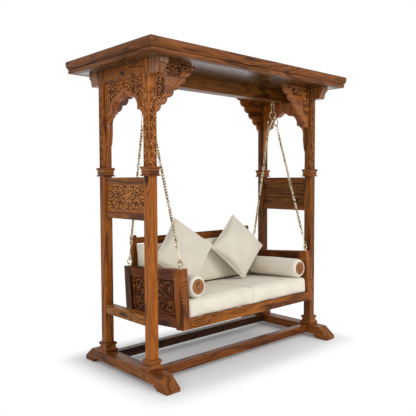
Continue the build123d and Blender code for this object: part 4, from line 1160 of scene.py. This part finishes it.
def circle_points(centre, first, second, radius, count=36):
    """Points round a circle whose plane holds two directions."""
    angles = np.arange(count)[:, None] * 2 * pi / count
    return np.array(centre) + radius * (np.cos(angles) * first + np.sin(angles) * second)


def ring(centre, first, second, radius, bar, count=36):
    """A round ring of round bar, as a part."""
    return tube(circle_points(centre, first, second, radius, count), bar, closed=True)


def smooth_line(points, steps=8):
    """A Catmull-Rom line through points."""
    points = np.array(points, float)
    points = np.concatenate([2 * points[:1] - points[1:2], points, 2 * points[-1:] - points[-2:-1]])
    line = []
    for p0, p1, p2, p3 in zip(points[:-3], points[1:-2], points[2:-1], points[3:]):
        for t in np.arange(steps) / steps:
            line.append(0.5 * (2 * p1 + (p2 - p0) * t + (2 * p0 - 5 * p1 + 4 * p2 - p3) * t**2
                               + (3 * p1 - p0 - 3 * p2 + p3) * t**3))
    line.append(points[-2])
    return np.array(line)


chain_x = 640
swing_axis_z = 1894
beam_eye_z = 1899.2
beam_underside = 1917
eye_ring_radius = 12.5
eye_bar = 3.5
hanger_half = 14
hanger_bar = 3
hanger_foot_z = 1830
hook_bar = 5
hook_top_z = 1837.8
x_axis, y_axis, z_axis = np.eye(3)

beam_eye_parts = []
for side, sx in sides:
    eye_middle = (sx * chain_x, 0, beam_eye_z)
    beam_eye_parts.append(ring(eye_middle, y_axis, z_axis, eye_ring_radius, eye_bar))
    collar_z = beam_underside - np.array((9, 5, 5, 3.5, 1.5, 0))
    collar_points = [(sx * chain_x, 0, z) for z in collar_z]
    beam_eye_parts.append(tube(collar_points, (5, 5.5, 12, 14, 13.5, 11), around=24))
join_piece("beam_screw_eyes", "frame", antique_brass, beam_eye_parts, "beam_eyes")

hanger_parts = []
for side, sx in sides:
    # Down one side, round the foot and up the other: a share of the half width, and a height.
    bow = smooth_line([
        (sx * chain_x + share * hanger_half, 0, z)
        for share, z in (
            (-1, swing_axis_z), (-1, swing_axis_z - 30), (-13 / 14, hanger_foot_z + 11),
            (-0.5, hanger_foot_z + 0.8), (0, hanger_foot_z), (0.5, hanger_foot_z + 0.8),
            (13 / 14, hanger_foot_z + 11), (1, swing_axis_z - 30), (1, swing_axis_z),
        )
    ])
    hanger_parts.append(tube(bow, hanger_bar))
    for ear in (-1, 1):
        ear_x = [sx * chain_x + ear * (hanger_half + offset) for offset in (-3.4, -3, 3, 3.4)]
        hanger_parts.append(tube([(x, 0, swing_axis_z) for x in ear_x], (5.6, 6.4, 6.4, 5.6), around=20))
    pin_points = [(sx * chain_x + offset, 0, swing_axis_z) for offset in (-19, -18.5, 0, 18.5, 19)]
    hanger_parts.append(tube(pin_points, (2.6, 3.5, 3.5, 3.5, 2.6), around=16))
join_piece("hanger_shackles", "swing", antique_brass, hanger_parts, "hanger_links")

# Half the loop, then across the middle to the hook on the other side: aside, forward and up.
half_hook = (
    (0, 0, hook_top_z), (0, 15, hook_top_z - 2), (0, 28, hook_top_z - 11), (1, 29.5, 1808), (2.2, 16, 1778),
    (3, 0, 1754), (2, -14, 1736), (0, -25, 1722.5), (0, -37, 1716.5), (0, -48, 1723), (0, -52.5, 1737),
    (0, -51, 1752), (0, -47, 1763),
)
hook_parts = []
for side, sx in sides:
    for hand in (-1, 1):
        strand = smooth_line([(sx * chain_x + hand * x, hand * y, z) for x, y, z in half_hook])
        taper = np.linspace(0, 1, len(strand))
        hook_parts.append(tube(strand, hook_bar - 1.6 * np.clip((taper - 0.8) / 0.2, 0, 1), around=14))
join_piece("forged_double_hooks", "swing", antique_brass, hook_parts, "double_hooks")

arm_eye_x = 639
arm_eye_height = 30
arm_eye_depths = (32, seat_depth - 32)
arm_eye_radius = 17.75
arm_eye_bar = 4.25
eye_parts = []
for side, sx in sides:
    for depth in arm_eye_depths:
        eye_middle = on_seat(sx * arm_eye_x, depth, arm_height + arm_eye_height)
        eye_parts.append(ring(eye_middle, x_axis, seat_up, arm_eye_radius, arm_eye_bar))
        shank = [on_seat(sx * arm_eye_x, depth, arm_height + up) for up in (13, 10, 3.4, 3.0, 0.6, 0)]
        eye_parts.append(tube(shank, (4.2, 4.6, 4.8, 10.4, 11, 10.6), around=20))
join_piece("arm_eye_bolts", "swing", antique_brass, eye_parts, "arm_eyes")


# ---------------------------------------------------------------- chains
# Each chain is cast antique brass: a long plain link, three bars that look like two-strand rope with an eye
# at each end, a ring below each bar, and a short plain link down to the eye on the arm.
link_seat_z = 1725.4
hook_bend_y = 37
top_link_length = 93
top_link_half = 10
link_bar = 3
rod_length = 246
rod_eye_radius = 8.5
rod_eye_bar = 2.7
ring_radius = 12.5
ring_bar = 2.5
eye_to_ring = 13.7
link_play = 1.3
end_eye_radius = 11.35
end_eye_bar = 2.65
end_bar = 3.3
rope_pitch = 38
strand_radius = 5.3
strand_orbit = 4.6
strand_count = 2
rod_count = 3

for side, sx in sides:
    for (end, ey), depth in zip(ends, arm_eye_depths):
        start = np.array((sx * chain_x, ey * hook_bend_y, link_seat_z))
        arm_eye = on_seat(sx * chain_x, depth, arm_height + arm_eye_height) + seat_up * arm_eye_radius
        run = arm_eye - start
        reach = np.linalg.norm(run) - link_play
        down = run / np.linalg.norm(run)
        aside = np.cross(down, x_axis)

        def on_chain(along, across=0, out=0):
            return start + down * along + x_axis * across + aside * out

        bend = [(top_link_half * (1 - sin(a)), top_link_half * cos(a)) for a in np.linspace(0, pi, 13)]
        link = [on_chain(in_from_end, -across) for in_from_end, across in bend]
        link += [on_chain(top_link_length - in_from_end, across) for in_from_end, across in bend]
        plain_parts = [tube(link, link_bar, closed=True)]
        rope_parts = []
        rope_reliefs = []
        along = top_link_length + link_play
        for _ in range(rod_count):
            for eye_at in (along, along + rod_length):
                plain_parts.append(ring(on_chain(eye_at), down, aside, rod_eye_radius, rod_eye_bar, 28))
            rope_start, rope_end = along + rod_eye_radius + 2, along + rod_length - rod_eye_radius - 2
            steps = np.arange(rope_start, rope_end, 2.6)
            taper = np.clip(np.minimum(steps - rope_start, rope_end - steps) / 12, 0.25, 1)
            for strand in range(strand_count):
                phase = 2 * pi * (steps / rope_pitch + strand / strand_count)
                strand_line = [
                    on_chain(at, strand_orbit * t * cos(p), strand_orbit * t * sin(p))
                    for at, p, t in zip(steps, phase, taper)
                ]
                rope = tube(strand_line, strand_radius * (0.55 + 0.45 * taper), around=10)
                rope_parts.append(rope)
                # The grooves between the strands are nearest the bar's axis.
                offset = rope[0] - start
                off_axis = np.linalg.norm(offset - np.outer(offset @ down, down), axis=1)
                rope_reliefs.append(np.clip((off_axis - 4.0) / 4.0, 0, 1))
            along += rod_length + eye_to_ring
            plain_parts.append(ring(on_chain(along), down, x_axis, ring_radius, ring_bar, 32))
            along += eye_to_ring
        plain_parts.append(ring(on_chain(along), down, aside, rod_eye_radius, rod_eye_bar, 28))
        plain_parts.append(ring(on_chain(reach), down, aside, end_eye_radius, end_eye_bar, 28))
        shank = [on_chain(at) for at in np.linspace(along + rod_eye_radius, reach - end_eye_radius, 12)]
        thick = np.interp(np.linspace(0, 1, 12), (0, 0.2, 0.8, 1), (2.8, end_bar, end_bar, 2.8))
        plain_parts.append(tube(shank, thick))
        join_piece(
            f"rope_chain_{end}_{side}", "swing", antique_brass, rope_parts + plain_parts,
            f"chain_{end}_{side}", rope_reliefs + [np.ones(len(part[0])) for part in plain_parts],
        )


# ---------------------------------------------------------------- seat cushions
# Two box cushions of foam in sewn covers of undyed cream linen. The foam crowns the top and fills the sides,
# and its own weight and the slats keep the underside flat.
thread_size = 2.2
cloud_size = 142.86


def linen_cloth(name, base, shade, turn=(0, 0, 0)):
    """Plain-woven linen: slubby threads both ways, with a soft sheen and no gloss. Real threads are 0.7 mm
    apart, too fine to show, so they are drawn as coarse as thread_size."""
    material, tree = new_material(name)
    spot = add_node(tree, "TexCoord").outputs["Object"]
    cloth = add_node(tree, "Mapping", {"Vector": spot, "Rotation": turn})
    warp, weft = (
        add_node(
            tree, "TexNoise",
            {
                "Vector": add_node(tree, "Mapping", {"Vector": cloth, "Scale": stretch}),
                "Scale": 1000 / thread_size, "Detail": 2.0, "Roughness": 0.6,
            },
        )
        for stretch in ((0.07, 1, 1), (1, 0.07, 0.07))
    )
    threads = add_node(tree, "Math", {0: warp, 1: weft}, operation="ADD")
    clouds = {"Vector": spot, "Scale": 1000 / cloud_size, "Detail": 3.0, "Roughness": 0.55}
    cloudy = add_node(tree, "TexNoise", clouds)
    thread_tone = add_node(tree, "MapRange", {0: threads, 1: 0.75, 2: 1.25, 3: 0.0, 4: 0.8})
    toned = add_node(tree, "Mix", {0: thread_tone, 6: colour(shade), 7: colour(base)}, data_type="RGBA")
    cloud_tone = add_node(tree, "MapRange", {0: cloudy, 1: 0.35, 2: 0.65, 3: 0.94, 4: 1.03})
    finish = add_node(tree, "Mix", {0: 1.0, 6: toned, 7: cloud_tone}, data_type="RGBA", blend_type="MULTIPLY")
    bump = add_node(tree, "Bump", {"Height": threads, "Strength": 0.4, "Distance": 0.0008})
    nap = {"Roughness": 0.92, "Sheen Weight": 0.25, "Sheen Roughness": 0.5, "Specular IOR Level": 0.25}
    shader = add_node(tree, "BsdfPrincipled", {"Base Color": finish, "Normal": bump, **nap})
    add_node(tree, "OutputMaterial", {"Surface": shader})
    return material


linen = linen_cloth("cream_linen_plain_weave", "EAE3D4", "DED5C3")

cushion_low = 66
cushion_near = 0.6
seat_cushion_size = (605.4, 587, 120)
seat_cushion_middle = 303.5
swelling = 5
pressed = 17
sim_frames = 20


def apply_modifiers(piece):
    """Replaces a piece's mesh by what its modifiers make of it."""
    bpy.context.view_layer.update()
    shown = piece.evaluated_get(bpy.context.evaluated_depsgraph_get())
    final = bpy.data.meshes.new_from_object(shown)
    piece.modifiers.clear()
    piece.data = final


def inflate(piece, pressure, cap, tension=40.0, bending=0.3, taut=(1, 1, 1)):
    """Blows up a closed fabric shell, as its filling does, and keeps every point within cap millimetres.
    Where taut is under 1, the sewn cover gives less along that axis."""
    rest = np.zeros(len(piece.data.vertices) * 3)
    piece.data.vertices.foreach_get("co", rest)
    cloth = piece.modifiers.new("fill", "CLOTH")
    cloth.settings.quality = 5
    cloth.settings.mass = 0.3
    cloth.settings.tension_stiffness = tension
    cloth.settings.compression_stiffness = tension
    cloth.settings.shear_stiffness = tension / 3
    cloth.settings.bending_stiffness = bending
    cloth.settings.use_pressure = True
    cloth.settings.uniform_pressure_force = pressure
    cloth.settings.effector_weights.gravity = 0
    cloth.point_cache.frame_start = 1
    cloth.point_cache.frame_end = sim_frames
    for step in range(1, sim_frames + 1):
        bpy.context.scene.frame_set(step)
    apply_modifiers(piece)
    bpy.context.scene.frame_set(1)
    blown = np.zeros(len(piece.data.vertices) * 3)
    piece.data.vertices.foreach_get("co", blown)
    moved = (blown - rest).reshape(-1, 3) * taut
    far = np.linalg.norm(moved, axis=1)[:, None]
    moved *= np.minimum(1, cap / 1000 / np.maximum(far, 1e-9))
    piece.data.vertices.foreach_set("co", (rest.reshape(-1, 3) + moved).ravel())
    piece.data.update()


def soft_box(name, size, corner, pressure, cap, taut=(1, 1, 1)):
    """A foam block in its cover, about its own middle: rounded, remeshed fine, then swollen."""
    mesh = bpy.data.meshes.new(name)
    shell = bmesh.new()
    bmesh.ops.create_cube(shell, size=1)
    bmesh.ops.scale(shell, vec=[(length - 2 * swelling) / 1000 for length in size], verts=shell.verts)
    shell.to_mesh(mesh)
    shell.free()
    piece = bpy.data.objects.new(name, mesh)
    bpy.context.scene.collection.objects.link(piece)
    corners = piece.modifiers.new("corners", "BEVEL")
    corners.width = corner / 1000
    corners.segments = 5
    fine = piece.modifiers.new("fine", "REMESH")
    fine.mode = "VOXEL"
    fine.voxel_size = 0.008
    fine.use_smooth_shade = True
    apply_modifiers(piece)
    inflate(piece, pressure, cap, taut=taut)
    return piece


def fit_soft(piece, size, place):
    """Scales a swollen piece to its size, and sets its points by a function from its axes to the frame."""
    points = np.zeros(len(piece.data.vertices) * 3)
    piece.data.vertices.foreach_get("co", points)
    points = points.reshape(-1, 3) * 1000
    low, high = points.min(0), points.max(0)
    points = (points - (low + high) / 2) * (np.array(size) / (high - low))
    piece.data.vertices.foreach_set("co", (place(points) / 1000).ravel())
    piece.data.shade_smooth()
    piece.data.update()


def cover(piece, material, replaced):
    """Gives a cushion its cloth and a finer surface, sets it on the swing and hides the nodes it replaces."""
    piece.data.materials.clear()
    piece.data.materials.append(material)
    fine = piece.modifiers.new("cloth_surface", "SUBSURF")
    fine.levels = fine.render_levels = 1
    apply_modifiers(piece)
    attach(piece, "swing")
    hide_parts(*replaced)


for side, sx in sides:
    cushion = soft_box(f"seat_cushion_linen_{side}", seat_cushion_size, 20, 1.6, 8, (0.35, 0.35, 0.8))

    def on_slats(points):
        # The slats press the underside flat, and the two cushions press each other flat.
        height = np.maximum(points[:, 2] + seat_cushion_size[2] / 2, pressed) - pressed
        height *= seat_cushion_size[2] / (seat_cushion_size[2] - pressed)
        along = np.maximum(sx * points[:, 0] + seat_cushion_size[0] / 2, pressed) - pressed
        along *= seat_cushion_size[0] / (seat_cushion_size[0] - pressed)
        return on_seat(sx * (cushion_near + along), seat_cushion_middle + points[:, 1], cushion_low + height)

    fit_soft(cushion, seat_cushion_size, on_slats)
    cover(cushion, linen, (f"seat_cushion_{side}",))


# ---------------------------------------------------------------- back cushion
# One long box cushion of the same linen stands on the seat cushions and leans on the back frame.
# It is softer than the seat, so its face is fuller in the middle.
back_size = (1184, 100, 344)
back_middle_depth = 547
back_middle_height = 359.5
back_piece = soft_box("back_cushion_linen", back_size, 15, 2.4, 12)
fit_soft(
    back_piece, back_size,
    lambda points: on_seat(points[:, 0], back_middle_depth + points[:, 1], back_middle_height + points[:, 2]),
)
cover(back_piece, linen, ("back_cushion",))


# ---------------------------------------------------------------- bolsters
# Two round bolsters lie along the arms, tight cotton tubes in linen. At the front end a fat welt rings
# a turned and carved sheesham medallion, and at the back the linen is gathered in pleats.
bolster_radius = 72
bolster_rise = 0.028
bolster_x = 523
bolster_height = 257
welt_depth = 7
medallion_radius = 49
bolster_profile = smooth_line([
    (0, 487), (25, 488), (48, 489), (60, 487), (69, 480), (72, 468), (73, 440), (73, 350), (72.6, 250),
    (72.2, 150), (71.4, 60), (70.2, 30), (66.8, 16), (60, 8), (53, 6.5), (48, 9), (46, 12), (0, 12),
], 5)
bolster_around = 96
welt_radius = 4.2


def bolster_points(radius, depth, angle):
    """Points of a bolster about its own axis, with pleats at the ends and slow creases along it."""
    end_share = np.clip((depth - 470) / 18, 0, 1) * np.clip(radius / 30, 0, 1)
    pleats = 1.6 * end_share * np.sin(22 * angle)
    body = np.clip((depth - 40) / 60, 0, 1) * np.clip((450 - depth) / 60, 0, 1)
    creases = body * (0.9 * np.sin(3 * angle + depth * 0.016) + 0.7 * np.sin(5 * angle - depth * 0.023 + 1.1))
    return radius + np.where(radius > 50, creases, 0), depth + pleats


for side, sx in sides:
    angles = np.arange(bolster_around) * 2 * pi / bolster_around
    radius, angle = np.broadcast_arrays(bolster_profile[:, :1], angles[None, :])
    depth = np.broadcast_to(bolster_profile[:, 1:], radius.shape)
    radius, depth = bolster_points(radius, depth, angle)
    up = np.maximum(radius * np.sin(angle), -bolster_radius + 0.6)
    up += bolster_height + bolster_rise * np.maximum(depth, 0)
    points = on_seat(sx * bolster_x + radius * np.cos(angle), depth, up)
    faces = grid_faces(len(bolster_profile), bolster_around, closed=True)
    bolster = make_piece(
        f"bolster_linen_{side}", "swing", linen, points.reshape(-1, 3), faces,
        (f"bolster_{side}",),
    )

pale_linen = linen_cloth("pale_linen_plain_weave", "F6F2E9", "EBE5D9")
for side, sx in sides:
    welt_middle = on_seat(sx * bolster_x, welt_depth, bolster_height)
    points, faces = ring(welt_middle, x_axis, seat_up, medallion_radius + 4.5, welt_radius, 72)
    make_piece(f"bolster_welt_{side}", "swing", pale_linen, points, faces)

medallion_front = -1
medallion_back = 8
medallion_wood = sheesham(
    "turned_sheesham_medallion", "BC7C3C", "90582A", "4C2A14", grain_z, 26.6, 0.3, 14, gloss=0.3, carved=True
)
ring_steps = np.linspace(0, medallion_radius, 32)
spokes = 96
medallion_parts = []
medallion_relief = []
for side, sx in sides:
    angles = np.arange(spokes) * 2 * pi / spokes
    radius, angle = np.broadcast_arrays(ring_steps[:, None], angles[None, :])
    petals = np.abs(np.cos(6 * angle))
    boss = np.sqrt(np.clip(1 - (radius / 9) ** 2, 0, 1))
    inner = (radius > 11) & (radius < 24)
    outer = (radius > 25) & (radius < 37)
    rim = np.sqrt(np.clip(1 - ((radius - 42) / 4.6) ** 2, 0, 1))
    field = 0.75 * petals * np.sin(pi * np.clip((radius - 11) / 13, 0, 1)) * inner
    field += 0.8 * np.abs(np.cos(10 * angle)) * np.sin(pi * np.clip((radius - 25) / 12, 0, 1)) * outer
    height = np.maximum(np.maximum(boss, field), rim)
    depth = medallion_front + 4 * (1 - height)
    across = np.concatenate([radius * np.cos(angle), medallion_radius * np.cos(angles)[None, :]])
    up = np.concatenate([radius * np.sin(angle), medallion_radius * np.sin(angles)[None, :]])
    depth = np.concatenate([depth, np.full((1, spokes), medallion_back)])
    points = on_seat(sx * bolster_x + across, depth, bolster_height + up).reshape(-1, 3)
    faces = grid_faces(len(ring_steps) + 1, spokes, closed=True)
    faces.append(list(range(len(points) - spokes, len(points))))
    medallion_parts.append((points, faces))
    # The relief darkens the hollows with painted shade and stain, and pales the raised parts with a painted
    # highlight and wear.
    medallion_relief += [0.42 + 0.56 * height.ravel(), np.ones(spokes)]
join_piece(
    "carved_medallions", "swing", medallion_wood, medallion_parts, "bolster_medallions",
    medallion_relief,
)


# ---------------------------------------------------------------- throw pillows
# Two square pillows of paler linen, each two sheets sewn together over a self welt, stand on a corner.
# The filling rounds the middle, draws the edges in and leaves the corners thin and pointed.
pillow_side = 392
pillow_grid = 56
pillow_lean = radians(12.3)
pillow_depth = 424
pillow_half_width = 286
pillow_half_height = 262
pillow_half_thickness = 56
pillow_blunting = 16
pillow_air = 14
pillow_places = {"left": (-273, 447, radians(6.5)), "right": (286, 441, radians(-3))}
pillow_welt = 3.4

for side, sx in sides:
    # Two flat sheets that share their edge, with a little air between them to start from.
    line = np.linspace(-1, 1, pillow_grid + 1)
    u, v = np.meshgrid(line, line, indexing="ij")
    rise_shape = (1 - u**2) * (1 - v**2)
    count = (pillow_grid + 1) ** 2
    on_edge = (np.abs(u) > 0.999) | (np.abs(v) > 0.999)
    under = np.where(on_edge.ravel(), np.arange(count), count + np.arange(count))
    flat = np.stack([u * pillow_side / 2, v * pillow_side / 2, pillow_air * rise_shape], -1).reshape(-1, 3)
    sheet_points = np.concatenate([flat, flat * (1, 1, -1)])
    quads = np.array(grid_faces(pillow_grid + 1, pillow_grid + 1))
    sheet_faces = quads.tolist() + under[quads[:, ::-1]].tolist()
    used = np.zeros(2 * count, bool)
    used[np.unique(sheet_faces)] = True
    renumber = np.cumsum(used) - 1
    mesh = bpy.data.meshes.new(f"throw_pillow_{side}")
    mesh.from_pydata((sheet_points[used] / 1000).tolist(), [], renumber[np.array(sheet_faces)].tolist())
    pillow = bpy.data.objects.new(f"throw_pillow_{side}", mesh)
    bpy.context.scene.collection.objects.link(pillow)
    inflate(pillow, 2.0, 60, taut=(0.4, 0.4, 1))
    points = np.zeros(len(mesh.vertices) * 3)
    pillow.data.vertices.foreach_get("co", points)
    points = points.reshape(-1, 3) * 1000
    # Its corner stands down, and the drop to each corner is set to the pillow's real size.
    turn = pi / 4
    across = points[:, 0] * cos(turn) - points[:, 1] * sin(turn)
    upright = points[:, 0] * sin(turn) + points[:, 1] * cos(turn)
    across *= pillow_half_width / np.abs(across).max()
    upright *= pillow_half_height / np.abs(upright).max()
    # The corner that stands on the seat is pushed blunt.
    blunt_at = pillow_blunting - pillow_half_height
    upright = np.maximum(upright, blunt_at) + 0.2 * np.minimum(upright - blunt_at, 0)
    thick = points[:, 2] * pillow_half_thickness / np.abs(points[:, 2]).max()
    pillow_x, pillow_height, lean_turn = pillow_places[side]
    turned_across = across * cos(lean_turn) - upright * sin(lean_turn)
    turned_up = across * sin(lean_turn) + upright * cos(lean_turn)
    normal = -seat_back * cos(pillow_lean) + seat_up * sin(pillow_lean)
    tall = seat_up * cos(pillow_lean) + seat_back * sin(pillow_lean)
    middle = on_seat(pillow_x, pillow_depth, pillow_height)
    placed = middle + turned_across[:, None] * x_axis + turned_up[:, None] * tall + thick[:, None] * normal
    pillow.data.vertices.foreach_set("co", (placed / 1000).ravel())
    pillow.data.shade_smooth()
    # The welt follows the sewn edge.
    there, back = range(pillow_grid), range(pillow_grid, 0, -1)
    edge_order = [(0, j) for j in there] + [(i, pillow_grid) for i in there]
    edge_order += [(pillow_grid, j) for j in back] + [(i, 0) for i in back]
    seam = placed[[renumber[i * (pillow_grid + 1) + j] for i, j in edge_order]]
    pillow_cloth = linen_cloth(f"pillow_linen_plain_weave_{side}", "E3DCCD", "D8CFBD", (0, radians(45), 0))
    cover(pillow, pillow_cloth, (f"pillow_{side}",))
    points, faces = tube(seam, pillow_welt, closed=True, around=10)
    make_piece(f"throw_pillow_welt_{side}", "swing", pale_linen, points, faces)
